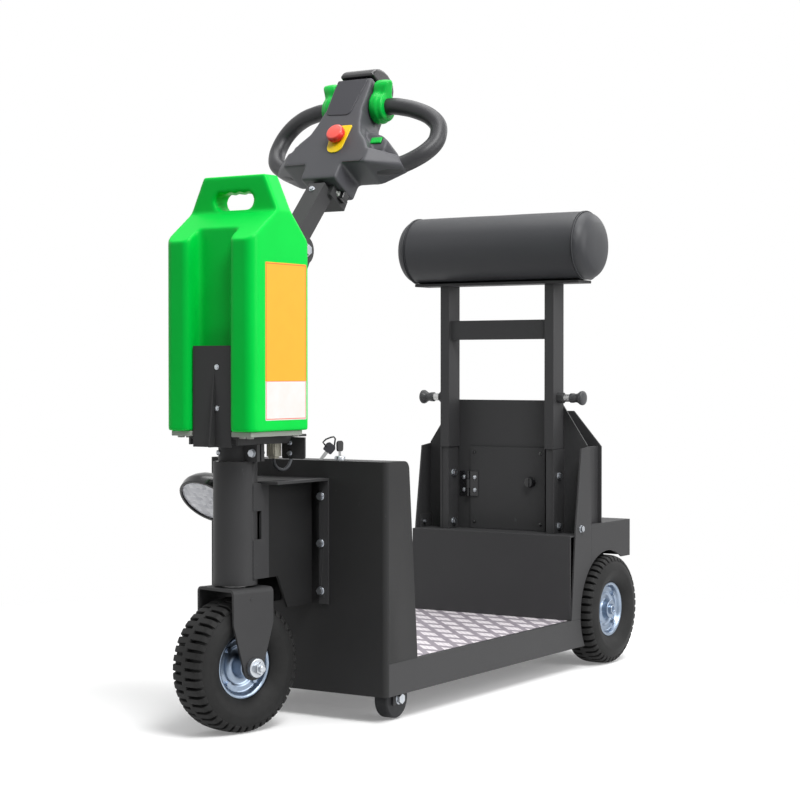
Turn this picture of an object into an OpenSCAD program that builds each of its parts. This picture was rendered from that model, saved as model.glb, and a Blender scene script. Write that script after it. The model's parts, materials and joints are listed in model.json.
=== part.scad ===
// Stand-on electric tug: three wheels, a steered front fork that carries the battery and the
// tiller, a low tread deck, and a rear frame with a height-adjustable round backrest.
// Millimetres. +Z is up, the front faces -Y, +X is the vehicle's left side.

/* [Wheels] */
// Outer diameter of the three road wheels
wheel_d = 260; // [250:1:268]
// Width of the tread band
tread_w = 76; // [66:1:78]
// Section width of the front tyre
front_tyre_w = 92; // [86:1:94]
// Section width of the rear tyres
rear_tyre_w = 84; // [80:1:88]
// Diameter of the rim flanges
rim_d = 128; // [120:1:140]
// Distance between the middles of the rear tyres
track_w = 402; // [398:1:420]
// Distance between the steering axis and the rear axle
wheelbase = 1173; // [1170:1:1180]
// Number of tread blocks in one row
block_count = 44; // [30:1:50]
// Diameter of the front axle bolt
axle_d = 14; // [12:1:16]
// Diameter of the rear half shafts
shaft_d = 20; // [18:1:24]

/* [Steering] */
// Angle by which the fork is turned in its clamp
fork_angle = 13; // [0:1:20]
// Clear width between the fork legs
fork_gap = 100; // [98:1:108]
// Plate thickness of the fork
fork_t = 6; // [4:0.5:8]
// Depth of a fork leg at the crown
fork_leg_w = 100; // [80:1:104]
// Gap between the front tyre and the crown of the fork
crown_gap = 17; // [12:1:19]
// Outer diameter of the column tube
column_d = 86; // [80:1:92]
// Wall of the column tube
column_wall = 5; // [3:0.5:8]
// Height of the top of the column tube
column_top = 527; // [515:1:535]
// Diameter of the steering stem
stem_d = 50; // [40:1:56]
// Outer diameter of the clamp collar
collar_d = 66; // [60:1:74]

/* [Body] */
// Width over the body sides
body_w = 443; // [436:1:460]
// Thickness of the body plates
plate_t = 4; // [3:0.5:5]
// Distance from the steering axis to the front panel
panel_y = 199; // [190:1:205]
// Height of the top of the front box
box_top = 522; // [480:1:525]
// Height of the underside of the sills
sill_z = 55; // [50:1:60]
// Height of the deck
deck_z = 121; // [115:1:130]
// Distance from the riser at the back of the deck to the rear axle
riser_set = 186; // [178:1:200]
// Height of the top of the riser
riser_top = 318; // [300:1:325]
// Height of the top of the rear hood
hood_top = 339; // [330:1:345]
// Distance from the rear axle to the outside of the rear wall
rear_set = 120; // [112:1:124]
// Thickness of the tread plate
tread_t = 3; // [2:0.5:4]

/* [Backrest] */
// Distance between the middles of the two posts
post_spacing = 287.6; // [280:1:300]
// Width of a post
post_w = 24; // [22:1:26]
// Depth of a post
post_depth = 51; // [44:1:51]
// Wall of a post
post_wall = 2.5; // [2:0.5:3]
// Height of the foot of the posts in the lowest setting
post_foot = 518; // [510:1:530]
// Height of the board under the cushion
board_z = 908; // [880:1:960]
// Diameter of the cushion
cushion_d = 166; // [140:1:180]
// Length of the cushion
cushion_l = 529; // [480:0.5:540]
// Spacing of the height settings
setting_pitch = 50; // [40:1:50]

/* [Battery] */
// Width of the battery case
battery_w = 214; // [190:1:224]
// Depth of the battery case
battery_depth = 185; // [170:1:187]
// Height of the underside of the battery case
battery_z = 587; // [585:1:592]
// Height of the shoulders as a share of the case's height
shoulder_share = 0.735; // [0.65:0.005:0.75]
// Height of the case above its underside
battery_h = 495; // [480:1:500]
// Wall of the battery case
case_wall = 5; // [3:0.5:8]

/* [Tiller] */
// Height of the tiller pivot
pivot_z = 945; // [930:1:960]
// Distance of the tiller pivot behind the steering axis
pivot_y = 172; // [165:1:180]
// Side of the square tiller pole
pole_w = 40; // [34:1:42]
// Length of the pole from the pivot to the head
pole_l = 198; // [185:1:210]
// Lean of the pole from the vertical
pole_angle = 42; // [38:1:46]
// Lean of the head from the vertical
head_angle = 32; // [28:1:36]
// Diameter of the handle loop's tube
loop_d = 36; // [28:1:38]
// Half width of the handle loop on its middle line
loop_half_w = 203; // [190:1:210]
// Length of the head
head_l = 300; // [290:1:310]

/* [Hidden] */
$fn = 48;

// Cuts run past the faces that they open
overrun = 1;
// Radial gap of a shaft that turns in its bore
run_gap = 0.05;
// Gap of a piece in its seat, within one body
seat_gap = 0.2;
// Gap between curved faces that move past each other
move_gap = 0.5;

wheel_r = wheel_d / 2;
rim_r = rim_d / 2;
rim_half_w = 27;
rim_lip_t = 3;
rim_lip_h = 7;
rim_wall = 4;
disc_t = 6;
hub_r = 22;
bearing_r = 17.5;
bearing_w = 12;
front_hub_half = fork_gap / 2 - 6;
rear_hub_half = 30;
hub_nut_r = 14;
hub_nut_l = 8;
shaft_start = 20;
disc_hole_r = 7;
disc_hole_count = 5;
disc_hole_share = 0.6;
groove_depth = 9;
tread_embed = 10;
shoulder_drop = 3;
side_radius_share = 0.575;
side_centre_share = 0.84;
block_share = 0.72;

axle_r = axle_d / 2;
bush_d = 38;
bush_l = 12;
axle_nut_r = 12;
axle_nut_l = 10;
axle_end_l = 6;
fork_half = fork_gap / 2;
fork_out = fork_half + fork_t;
crown_z = wheel_d + crown_gap;
fork_top = crown_z + fork_t;
fork_end_r = 25;
leg_taper_set = 62;
leg_taper_z = crown_z - leg_taper_set;
bend_r = 10;

column_r = column_d / 2;
stem_r = stem_d / 2;
column_foot = fork_top + 4;
column_bearing_h = 16;
collar_z = column_top + move_gap;
collar_h = 33;
collar_top = collar_z + collar_h;
collar_slot = 4;
lug_t = 10;
lug_reach = 62;
lug_bolt_x = 51;

battery_base_h = 10;
shelf_t = 5;
shelf_top = battery_z - battery_base_h;
shelf_half_w = 60;
shelf_back = 155;
battery_y = 6.5;
battery_front = battery_y - battery_depth / 2;
battery_back = battery_y + battery_depth / 2;
battery_half_w = battery_w / 2;
case_r = 20;
case_back_r = 8;
recess_half_w = 49;
recess_depth = 36;
bracket_t = 4;
bracket_half_w = 46;
bracket_set = 13;
bracket_y = battery_front + bracket_set;
bracket_top = 751;
rib_t = 4;
rib_x = 5;
rib_top = 700;
rib_reach = 15;
bracket_screw_x = 12;
bracket_screw_zs = [710, 631];

// Handle slab of the battery case: its front face, its back face, its hole and its top corners
slab_front = -5;
slab_back = 40;
slab_foot_share = 0.8566;
slab_top_half_w = 75;
grip_half_w = 47;
grip_low_share = 0.8646;
grip_high_share = 0.9354;
cell_gap = 2;
cell_inset_share = 0.3;
label_t = 0.5;
label_front = -45;
label_back = 88;
label_low_share = 0.0424;
label_split_share = 0.192;
label_high_share = 0.6525;
shoulder_h = shoulder_share * battery_h;
slab_foot_h = slab_foot_share * battery_h;
grip_low_h = grip_low_share * battery_h;
grip_high_h = grip_high_share * battery_h;
label_low_h = label_low_share * battery_h;
label_split_h = label_split_share * battery_h;
label_high_h = label_high_share * battery_h;

mast_t = 6;
pole_side_gap = 20.5;
mast_in = pole_w / 2 + pole_side_gap;
mast_out = mast_in + mast_t;
mast_y = 102;
mast_depth = 48;
mast_web_t = 4;
ear_r = 28;
pivot_r = 8;
pivot_head_r = 13;
pivot_head_h = 8;
boss_r = 15;
pole_wall = 3;
plug_x = 15;
plug_w = 22;
plug_h = 43;
plate_w = 56;
connector_t = 4;

// Head of the tiller, in its own frame: z runs up its face, y points back
head_y = pivot_y + pole_l * sin(pole_angle);
head_z = pivot_z + pole_l * cos(pole_angle);
head_face_y = -28;
head_back_y = 58;
head_step = 2;
loop_r = loop_d / 2;
neck_half_w = 34.5;
neck_front = -14;
neck_back = 46;
neck_top = 280;
cap_half_w = 42;
belly_travel = 5;
// Middle line of the loop, as shares of its half width and of the length of the head
loop_shares = [
    [0.227, 0.057, 0.693], [0.33, 0.057, 0.693], [0.453, 0.057, 0.693], [0.552, 0.062, 0.683],
    [0.69, 0.08, 0.667], [0.847, 0.12, 0.637], [0.961, 0.153, 0.577], [1, 0.163, 0.493],
    [0.99, 0.16, 0.407], [0.906, 0.14, 0.307], [0.729, 0.127, 0.223]
];
// Left half of the outlines of the head's face and of its shoulders, in the same shares
face_shares = [
    [0.217, -0.027], [0.227, 0.1], [0.453, 0.1], [0.493, 0.207], [0.414, 0.3], [0.315, 0.373],
    [0.266, 0.467], [0.246, 0.543], [0.227, 0.573], [0.227, 0.773]
];
shoulder_shares = [
    [0.2, 0.104], [0.493, 0.104], [0.493, 0.247], [0.581, 0.267], [0.591, 0.347], [0.493, 0.4],
    [0.345, 0.433], [0.197, 0.473]
];
// Side view of the cap, from its front foot over its top to its rear foot
cap_shares = [
    [-0.093, 0.873], [-0.09, 0.907], [-0.067, 0.947], [-0.017, 0.987], [0.05, 1.007], [0.127, 1],
    [0.187, 0.967], [0.213, 0.907], [0.213, 0.873]
];
cap_low = cap_shares[0].y * head_l;
head_top = cap_low - belly_travel - move_gap;
head_foot = face_shares[0].y * head_l;
loop_steps = 3;
loop_sides = 12;
wing_l = 31;
wing_r = 35;
wing_lobe_r = 17;
wing_steps = 16;
wing_lobe_reach = 41;
wing_lean_angle = 34;
stop_x = 16;
stop_h = 97;
stop_r = 20;
stop_neck_r = 12;
stop_travel = 4;
stop_cap_l = 16;
stop_plate_t = 2;
stop_plate_half_w = 26;
stop_plate_low_w = 19;
stop_plate_low = 57;
stop_plate_top = 127;
// Foot of the loop: from the side of the shell, where it is as deep as the shell, out to the tube
foot_in = 80;
foot_at = 100;
foot_low = face_shares[1].y * head_l;
foot_high = 66;
thumb_x = 92;
thumb_h = 104;
thumb_w = 26;
thumb_l = 16;
thumb_t = 6;
thumb_travel = 2;

body_half_w = body_w / 2;
side_in = body_half_w - plate_t;
box_back_top = 284;
box_back_foot = 315;
box_round = 18;
cover_t = 3;
sill_lip = 12;
lip_in = body_half_w - sill_lip;
deck_front = 318;
rail_set = 86.5;
rail_x = body_half_w - rail_set;
rail_w = 30;
rail_h = 40;
rail_z = sill_z + 3;
rail_wall = 3;
cross_w = 40;
cross_shares = [0.1525, 0.571, 0.96];
roller_set = 73;
roller_y = panel_y + roller_set;
roller_r = 40;
roller_w = 30;
roller_in = 36.5;
roller_x = body_half_w - roller_in;
roller_z = 43;
roller_axle_r = 6;
roller_cheek_t = 3;
roller_gap = 1;

bolt_d = 8;
bolt_head_share = 0.85;
bolt_height_share = 0.62;
web_x = 39;
web_t = 5;
flange_out = 84;
flange_t = 4;
web_drop = 50;
web_low = fork_top - web_drop;
web_high = 487;
web_step_gap = 15;
web_step = fork_top + web_step_gap;
web_foot_y = 80;
web_toe_y = 112;
web_bolt_x = 66;
web_bolt_set = 26;
web_bolt_zs = [web_low + web_bolt_set, 355, 450];
notch_low = 375;
notch_high = 430;
notch_y = 26;

// Corners of an upright behind the riser, in y and z
upright_mid = [20, 331];
upright_top = [48, 519];
upright_rear = [91, 524];
upright_depth = 100;
upright_bolt_set = 46;
upright_bolt_z = 332;
riser_y = wheelbase - riser_set;
rear_y = wheelbase + rear_set;
upright_back_y = riser_y + upright_depth;
upright_bolt_y = riser_y + upright_bolt_set;
hood_y = upright_back_y + 0.5;
hood_side_z = 250;
arch_r = wheel_r + 11;
wall_set = 71.5;
wall_half_w = body_half_w - wall_set;
tow_w = 90;
tow_reach = 52;
tow_t = 12;
tow_z = 185;
tow_hole_r = 13;
tow_hole_y = 24;
tow_bolt_x = 32;
tow_bolt_dz = 20;

carrier_set = 84;
carrier_y = riser_y + carrier_set;
carrier_half_w = side_in - seat_gap;
carrier_side_z = 527;
carrier_top_half_w = 146;
carrier_top = 632;
guard_set = 74;
guard_y = carrier_y + guard_set;
guard_side_z = 522;
guard_top = 606;
guard_top_half_w = 144;
link_in = 26.5;
link_x = body_half_w - link_in;
link_w = 12;
door_half_w = 107;
door_high = 518;
door_opening_half_w = 98;
door_opening_low = 326;
door_opening_high = 508;
door_gap = 0.5;
door_low = riser_top + 2 * door_gap;
hinge_x = -104;
hinge_low = 396;
hinge_high = 458;
hinge_r = 4;
hinge_pin_r = 1.5;
hinge_leaf_w = 27;
hinge_leaf_t = 2.2;
latch_x = 69;
latch_z = 435;
latch_knob_r = 13;
latch_shaft_r = 7;
latch_cam_l = 20;

post_x = post_spacing / 2;
post_set = 27.5;
post_y = carrier_y - post_set;
bar_w = 18;
bar_depth = 44;
bar_foot = riser_top + seat_gap;
bar_top = 772;
clip_t = 4;
clip_w = 52;
bar_bolt_zs = [335, 454];
crossbar_low = 778;
crossbar_h = 46;
crossbar_depth = 30;
board_t = 7;
board_w = 64;
board_half_l = 226;
plunger_z = 638.5;
plunger_r = 5;
plunger_bush_r = 13;
plunger_bush_l = 16;
plunger_neck_r = 9;
plunger_knob_r = 17;
plunger_knob_l = 25;
plunger_l = 55;
plunger_bite = 8;
holes_per_setting = 3;
cushion_z = board_z + board_t + cushion_d / 2 - 3;

controller_w = 104;
controller_h = 120;
controller_t = 36;
controller_z = 270;
lamp_in = 75.5;
lamp_x = lamp_in - body_half_w;
lamp_drop = 86;
lamp_z = box_top - lamp_drop;
lamp_r = 63;
lamp_y = 96;
lamp_l = 50;
lamp_tilt_angle = 45;
lamp_stub_r = 9;
lamp_stub_l = 10;
lamp_flange_r = 16;
lamp_rim = 6;
lens_t = 6;
key_x = 82;
key_y = 240;
switch_r = 11;
switch_h = 8;
key_t = 2.5;
key_bow_w = 24;
key_bow_h = 20;
key_blade_h = 10;

axle_tube_r = 30;
gearbox_r = 60;
gearbox_half_w = 62;
motor_r = 48;
motor_half_l = 85;
motor_set = 129;
motor_y = wheelbase - motor_set;
motor_z = 176;

// The part's origin lies on the ground, under the middle of its box
front_reach = wheel_r * cos(fork_angle) + tread_w / 2 * sin(fork_angle);
rear_reach = max(wheelbase + wheel_r, rear_y + tow_reach);
origin_y = (rear_reach - front_reach) / 2;

function around(angle) = [cos(angle), sin(angle)];
function arc(centre, r, from, to, steps) =
    [for (i = [0:steps]) centre + r * around(from + (to - from) * i / steps)];
function mirrored(points) = [for (i = [len(points) - 1:-1:0]) [-points[i].x, points[i].y]];
function flipped(points) = [for (i = [len(points) - 1:-1:0]) [points[i].x, -points[i].y]];
function unit(v) = v / norm(v);

module place() {
    translate([0, -origin_y, 0]) children();
}

// Turns a piece with the fork
module steered() {
    place() rotate([0, 0, -fork_angle]) children();
}

module both_sides() {
    children();
    mirror([1, 0, 0]) children();
}

// Puts the z axis of a piece along x, y backwards or -y
module along_x(x, y, z) {
    translate([x, y, z]) rotate([0, 90, 0]) children();
}

module facing_front(x, y, z) {
    translate([x, y, z]) rotate([90, 0, 0]) children();
}

module rod(r, l) {
    cylinder(r = r, h = l, center = true);
}

module ring(r_out, r_in, l) {
    difference() {
        rod(r_out, l);
        rod(r_in, l + 2 * overrun);
    }
}

// Plate that stands in the y-z plane, from x on, with its outline in y and z
module side_plate(x, t, points) {
    translate([x, 0, 0]) rotate([90, 0, 90]) linear_extrude(t) polygon(points);
}

// Plate that stands in the x-z plane, from y on, with its outline in x and z
module cross_plate(y, t, points) {
    translate([0, y + t, 0]) rotate([90, 0, 0]) linear_extrude(t) polygon(points);
}

module block(x0, x1, y0, y1, z0, z1) {
    translate([x0, y0, z0]) cube([x1 - x0, y1 - y0, z1 - z0]);
}

// Hexagon head above z = 0 with its shank below
module bolt(d, l) {
    color("#b9c0c6") {
        cylinder(r = d * bolt_head_share, h = d * bolt_height_share, $fn = 6);
        translate([0, 0, -l]) cylinder(r = d / 2, h = l + d * bolt_height_share / 2);
    }
}

module tyre(width) {
    side_r = (wheel_r - rim_r) * side_radius_share;
    centre = [rim_r + side_r * side_centre_share, width / 2 - side_r];
    crown_r = wheel_r - groove_depth;
    seat_r = rim_r - rim_lip_h + seat_gap;
    bead_z = rim_half_w - rim_lip_t - seat_gap;
    from = acos((rim_r + seat_gap - centre.x) / side_r);
    to = asin((tread_w / 2 - shoulder_drop - centre.y) / side_r);
    half = concat(
        [[seat_r, bead_z], [rim_r + seat_gap, bead_z]],
        arc(centre, side_r, from, to, 9),
        [[crown_r, tread_w / 2 - 2 * shoulder_drop]]
    );
    color("#1d1d1e") union() {
        rotate_extrude() polygon(concat(half, flipped(half)));
        for (row = [0, 1]) {
            rotate([0, 0, row * 180 / block_count])
                translate([0, 0, row == 0 ? 0 : -tread_w / 2])
                    tread_row(crown_r - tread_embed);
        }
    }
}

// One row of tread blocks, as a toothed ring
module tread_row(inner_r) {
    pitch = 360 / block_count;
    points = [for (i = [0:block_count - 1]) each [
        inner_r * around(i * pitch), wheel_r * around(i * pitch),
        wheel_r * around((i + block_share) * pitch), inner_r * around((i + block_share) * pitch)
    ]];
    difference() {
        linear_extrude(tread_w / 2) polygon(points);
        translate([0, 0, -overrun]) cylinder(r = inner_r - tread_embed, h = tread_w / 2 + 2 * overrun);
    }
}

module rim(hub_half, bore_r) {
    seat_r = rim_r - rim_lip_h;
    barrel_r = seat_r - rim_wall;
    half = [
        [bore_r, hub_half], [hub_r, hub_half], [hub_r, disc_t / 2], [barrel_r, disc_t / 2],
        [barrel_r, rim_half_w], [rim_r, rim_half_w], [rim_r, rim_half_w - rim_lip_t],
        [seat_r, rim_half_w - rim_lip_t]
    ];
    color("#c3cdd6") difference() {
        rotate_extrude() polygon(concat(half, flipped(half)));
        for (i = [0:disc_hole_count - 1]) {
            rotate([0, 0, i * 360 / disc_hole_count])
                translate([rim_r * disc_hole_share, 0, 0]) rod(disc_hole_r, disc_t + 2 * overrun);
        }
    }
}

module front_tyre() {
    steered() along_x(0, 0, wheel_r) tyre(front_tyre_w);
}

module front_rim() {
    steered() along_x(0, 0, wheel_r) rim(front_hub_half, bearing_r);
}

module front_bearings() {
    color("#8f979d") steered() both_sides()
        along_x(front_hub_half - bearing_w / 2, 0, wheel_r)
            ring(bearing_r - seat_gap / 2, axle_r + run_gap, bearing_w);
}

// Axle bolt with a spacer inside each leg, and a bush and a nut outside it
module front_axle() {
    inner_l = fork_half - front_hub_half - move_gap;
    color("#c6ced4") steered() {
        along_x(0, 0, wheel_r) rod(axle_r, 2 * (fork_out + bush_l + axle_nut_l + axle_end_l));
        both_sides() {
            along_x(fork_half - inner_l / 2, 0, wheel_r) ring(axle_r + fork_t, axle_r + run_gap, inner_l);
            along_x(fork_out + bush_l / 2, 0, wheel_r) ring(bush_d / 2, axle_r + run_gap, bush_l);
            along_x(fork_out + bush_l + axle_nut_l / 2, 0, wheel_r) difference() {
                cylinder(r = axle_nut_r, h = axle_nut_l, center = true, $fn = 6);
                rod(axle_r + run_gap, axle_nut_l + 2 * overrun);
            }
        }
    }
}

// Plate bent into a U, with legs that taper to round ends at the axle
module fork() {
    outer = concat([[fork_out, 0]], arc([fork_out - bend_r, fork_top - bend_r], bend_r, 0, 90, 6));
    inner = concat(
        [[fork_half, 0]],
        arc([fork_out - bend_r, fork_top - bend_r], bend_r - fork_t, 0, 90, 6)
    );
    half = fork_leg_w / 2;
    color("#3b3b3d") steered() difference() {
        intersection() {
            cross_plate(-half, fork_leg_w, concat(outer, mirrored(outer), [for (p = inner) [-p.x, p.y]],
                [for (i = [len(inner) - 1:-1:0]) inner[i]]));
            translate([-fork_out - overrun, 0, 0]) rotate([90, 0, 90])
                linear_extrude(2 * (fork_out + overrun)) {
                    polygon([
                        [-half, fork_top + overrun], [-half, leg_taper_z], [-fork_end_r, wheel_r],
                        [fork_end_r, wheel_r], [half, leg_taper_z], [half, fork_top + overrun]
                    ]);
                    translate([0, wheel_r]) circle(fork_end_r);
                }
        }
        along_x(0, 0, wheel_r) rod(axle_r + seat_gap, 2 * (fork_out + overrun));
    }
}

module steering_stem() {
    color("#9aa0a5") place() translate([0, 0, fork_top])
        cylinder(r = stem_r, h = shelf_top - shelf_t - fork_top);
}

// Split collar that clamps the stem, with two lugs and a slot between them
module clamp_collar() {
    color("#333335") place() difference() {
        union() {
            translate([0, 0, collar_z]) cylinder(r = collar_d / 2, h = collar_h);
            for (side = [-1, 1]) {
                translate([stem_r, side * (collar_slot + lug_t) / 2 - lug_t / 2, collar_z])
                    cube([lug_reach - stem_r, lug_t, collar_h]);
            }
        }
        translate([0, 0, collar_z - overrun]) cylinder(r = stem_r + run_gap, h = collar_h + 2 * overrun);
        translate([0, -collar_slot / 2, collar_z - overrun])
            cube([lug_reach + overrun, collar_slot, collar_h + 2 * overrun]);
        facing_front(lug_bolt_x, 0, collar_z + collar_h / 2)
            rod(bolt_d / 2 + seat_gap, 2 * (lug_t + collar_slot + overrun));
    }
}

module battery_shelf() {
    color("#2b2b2d") place() {
        block(-shelf_half_w, shelf_half_w, bracket_y + bracket_t, shelf_back, shelf_top - shelf_t, shelf_top);
        translate([0, 0, collar_top]) difference() {
            cylinder(r = collar_d / 2, h = shelf_top - shelf_t / 2 - collar_top);
            translate([0, 0, -overrun])
                cylinder(r = stem_r + run_gap, h = shelf_top - shelf_t - collar_top + overrun);
        }
        both_sides()
            block(shelf_half_w - shelf_t, shelf_half_w, bracket_y + bracket_t, mast_y, collar_top,
                shelf_top - shelf_t / 2);
    }
}

// Upright plate in the recess of the battery, with a rib down its front
module battery_bracket() {
    foot_z = collar_top - bracket_t;
    color("#2e2e30") place() difference() {
        union() {
            block(-bracket_half_w, bracket_half_w, bracket_y, bracket_y + bracket_t, foot_z, bracket_top);
            side_plate(rib_x - rib_t / 2, rib_t, [
                [bracket_y + bracket_t / 2, rib_top], [bracket_y, rib_top],
                [bracket_y - rib_reach, foot_z], [bracket_y + bracket_t / 2, foot_z]
            ]);
        }
        for (z = bracket_screw_zs) {
            facing_front(bracket_screw_x, bracket_y, z) rod(bolt_d / 4 + seat_gap, 3 * bracket_t);
        }
    }
}

module tiller_mast() {
    color("#313133") place() {
        both_sides() difference() {
            union() {
                side_plate(mast_in, mast_t, [
                    [mast_y, shelf_top], [mast_y + mast_depth, shelf_top],
                    [mast_y + mast_depth, pivot_z - 3 * ear_r], [pivot_y + ear_r, pivot_z],
                    [pivot_y, pivot_z + ear_r], [pivot_y - ear_r, pivot_z], [mast_y, pivot_z - 3 * ear_r]
                ]);
                along_x(mast_in + mast_t / 2, pivot_y, pivot_z) rod(ear_r, mast_t);
            }
            along_x(mast_in, pivot_y, pivot_z) rod(pivot_r + seat_gap, 4 * mast_t);
        }
        block(-mast_in - mast_t / 2, mast_in + mast_t / 2, mast_y, mast_y + mast_web_t, shelf_top,
            pivot_z - 4 * ear_r);
    }
}

module tiller_pivot_bolt() {
    color("#b9c0c6") place() {
        along_x(0, pivot_y, pivot_z) rod(pivot_r, 2 * (mast_out + pivot_head_h));
        both_sides() along_x(mast_out + pivot_head_h / 2, pivot_y, pivot_z)
            cylinder(r = pivot_head_r, h = pivot_head_h, center = true, $fn = 6);
    }
}

// Plug of the battery and the plate beside it, both under the shelf
module battery_connector() {
    high = shelf_top - shelf_t;
    place() {
        color("#d9d4c4") block(plug_x, plug_x + plug_w, mast_y - plug_w, mast_y, high - plug_h, high);
        color("#2b2b2d") block(plug_x + plug_w, plug_x + plug_w + plate_w, mast_y, mast_y + connector_t,
            high - plug_h, high);
    }
}

module steering_bolts() {
    place() {
        facing_front(lug_bolt_x, -collar_slot / 2 - lug_t, collar_z + collar_h / 2)
            bolt(bolt_d, 2 * lug_t + collar_slot + bolt_d);
        for (z = bracket_screw_zs) {
            facing_front(bracket_screw_x, bracket_y, z) bolt(bolt_d / 2, 2 * bracket_t);
        }
    }
}

// Plan of the case: wide rounding in front, tight corners at the back
module case_plan() {
    front_x = battery_half_w - case_r;
    back_x = battery_half_w - case_back_r;
    front_y = battery_front + case_r;
    back_y = battery_back - case_back_r;
    difference() {
        union() {
            translate([-battery_half_w, front_y]) square([battery_w, back_y - front_y]);
            translate([-front_x, battery_front]) square([2 * front_x, back_y - battery_front]);
            translate([-back_x, front_y]) square([2 * back_x, battery_back - front_y]);
            for (side = [-1, 1]) {
                translate([side * front_x, front_y]) circle(case_r);
                translate([side * back_x, back_y]) circle(case_back_r);
            }
        }
        translate([-recess_half_w, battery_front - overrun])
            square([2 * recess_half_w, recess_depth + overrun]);
    }
}

// Moulded case: a recess down its front, sloping shoulders and a slab with the carrying hole
module battery_case() {
    side = [
        [0, battery_half_w], [slab_foot_h, battery_half_w], [battery_h, slab_top_half_w]
    ];
    front = [for (p = side) [p.y, p.x + battery_z]];
    profile = [
        [battery_front - overrun, battery_z], [battery_front - overrun, battery_z + shoulder_h],
        [slab_front, battery_z + slab_foot_h], [slab_front, battery_z + battery_h],
        [slab_back, battery_z + battery_h], [slab_back, battery_z + slab_foot_h],
        [battery_back + overrun, battery_z + shoulder_h], [battery_back + overrun, battery_z]
    ];
    color("#12b83b") place() difference() {
        intersection() {
            translate([0, 0, battery_z]) linear_extrude(battery_h) case_plan();
            cross_plate(battery_front - overrun, battery_depth + 2 * overrun,
                concat(front, mirrored(front)));
            side_plate(-battery_half_w - overrun, battery_w + 2 * overrun, profile);
        }
        grip_hole();
        cell_space(0);
    }
}

module grip_hole() {
    r = (grip_high_h - grip_low_h) / 2;
    z = battery_z + grip_low_h + r;
    y = (slab_front + slab_back) / 2;
    l = slab_back - slab_front + 2 * overrun;
    for (side = [-1, 1]) {
        facing_front(side * (grip_half_w - r), y, z) rod(r, l);
    }
    block(r - grip_half_w, grip_half_w - r, y - l / 2, y + l / 2, z - r, z + r);
}

// Space for the cells: it stands on the floor of the case, clear of the round corners
module cell_space(gap) {
    inset = case_wall + case_r * cell_inset_share + gap;
    block(
        inset - battery_half_w, battery_half_w - inset,
        battery_front + recess_depth + case_wall + gap, battery_back - inset,
        battery_z + case_wall, battery_z + shoulder_h - case_wall - gap
    );
}

module battery_cells() {
    color("#30507a") place() cell_space(cell_gap);
}

module battery_base() {
    color("#b9bcb6") place() difference() {
        block(-battery_half_w + case_r / 2, battery_half_w - case_r / 2, battery_front + case_r / 2,
            battery_back - case_r / 2, shelf_top, battery_z);
        block(-recess_half_w, recess_half_w, battery_front - overrun, battery_front + recess_depth,
            shelf_top - overrun, battery_z + overrun);
    }
}

// Blank panels on the left side of the case
module battery_labels() {
    place() {
        color("#e2ab3d") block(battery_half_w, battery_half_w + label_t, label_front, label_back,
            battery_z + label_split_h, battery_z + label_high_h);
        color("#c9ccd0") block(battery_half_w, battery_half_w + label_t, label_front, label_back,
            battery_z + label_low_h, battery_z + label_split_h - seat_gap);
    }
}

module tiller_pole() {
    inner = pole_w / 2 - pole_wall;
    color("#363638") {
        place() translate([0, pivot_y, pivot_z]) rotate([-pole_angle, 0, 0]) difference() {
            union() {
                block(-pole_w / 2, pole_w / 2, -pole_w / 2, pole_w / 2, -pole_w / 2, pole_l - pole_w / 2);
                along_x(0, 0, 0) rod(boss_r, 2 * (mast_in - move_gap));
            }
            block(-inner, inner, -inner, inner, boss_r + pole_wall, pole_l - pole_w / 2 - pole_wall);
            along_x(0, 0, 0) rod(pivot_r + run_gap, 2 * mast_in);
        }
        on_head() block(-pole_w * 0.7, pole_w * 0.7, -pole_wall, head_back_y - head_step,
            head_foot - pole_w * 0.6, head_foot);
    }
}

// Places a piece in the frame of the tiller's head
module on_head() {
    place() translate([0, head_y, head_z]) rotate([-head_angle, 0, 0]) children();
}

function head_point(share) = [share.x * loop_half_w, share.y * head_l];
function spline(a, b, c, d, t) =
    0.5 * (2 * b + (c - a) * t + (2 * a - 5 * b + 4 * c - d) * t * t + (3 * b - a - 3 * c + d) * t * t * t);
loop_knots = [for (share = loop_shares) [share.x * loop_half_w, share.y * head_l, share.z * head_l]];
loop_last = len(loop_knots) - 1;
// Middle line of the left half of the loop, from the side of the head down to its foot
loop_path = concat([for (i = [0:loop_last - 1], k = [0:loop_steps - 1])
    spline(loop_knots[max(i - 1, 0)], loop_knots[i], loop_knots[i + 1],
        loop_knots[min(i + 2, loop_last)], k / loop_steps)], [loop_knots[loop_last]]);
loop_count = len(loop_path);

// The loop leaves the head square to its side and comes back square to its shoulder
function loop_heading(i) =
    i == 0 ? [1, 0, 0] : i == loop_count - 1 ? [-1, 0, 0] : unit(loop_path[i + 1] - loop_path[i - 1]);

module half_loop() {
    points = [for (i = [0:loop_count - 1], k = [0:loop_sides - 1])
        let (
            along = loop_heading(i),
            across = unit(cross([0, 1, 0], along)),
            back = cross(along, across),
            turn = around(k * 360 / loop_sides)
        )
        loop_path[i] + loop_r * (turn.x * across + turn.y * back)];
    sides = [for (i = [0:loop_count - 2], k = [0:loop_sides - 1])
        let (n = (k + 1) % loop_sides, a = i * loop_sides, b = a + loop_sides)
        each [[a + k, b + n, b + k], [a + k, a + n, b + n]]];
    caps = [
        [for (k = [loop_sides - 1:-1:0]) k],
        [for (k = [0:loop_sides - 1]) (loop_count - 1) * loop_sides + k]
    ];
    polyhedron(points, concat(sides, caps));
}

module handle_loop() {
    color("#2f2f31") on_head() both_sides() half_loop();
}

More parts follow.
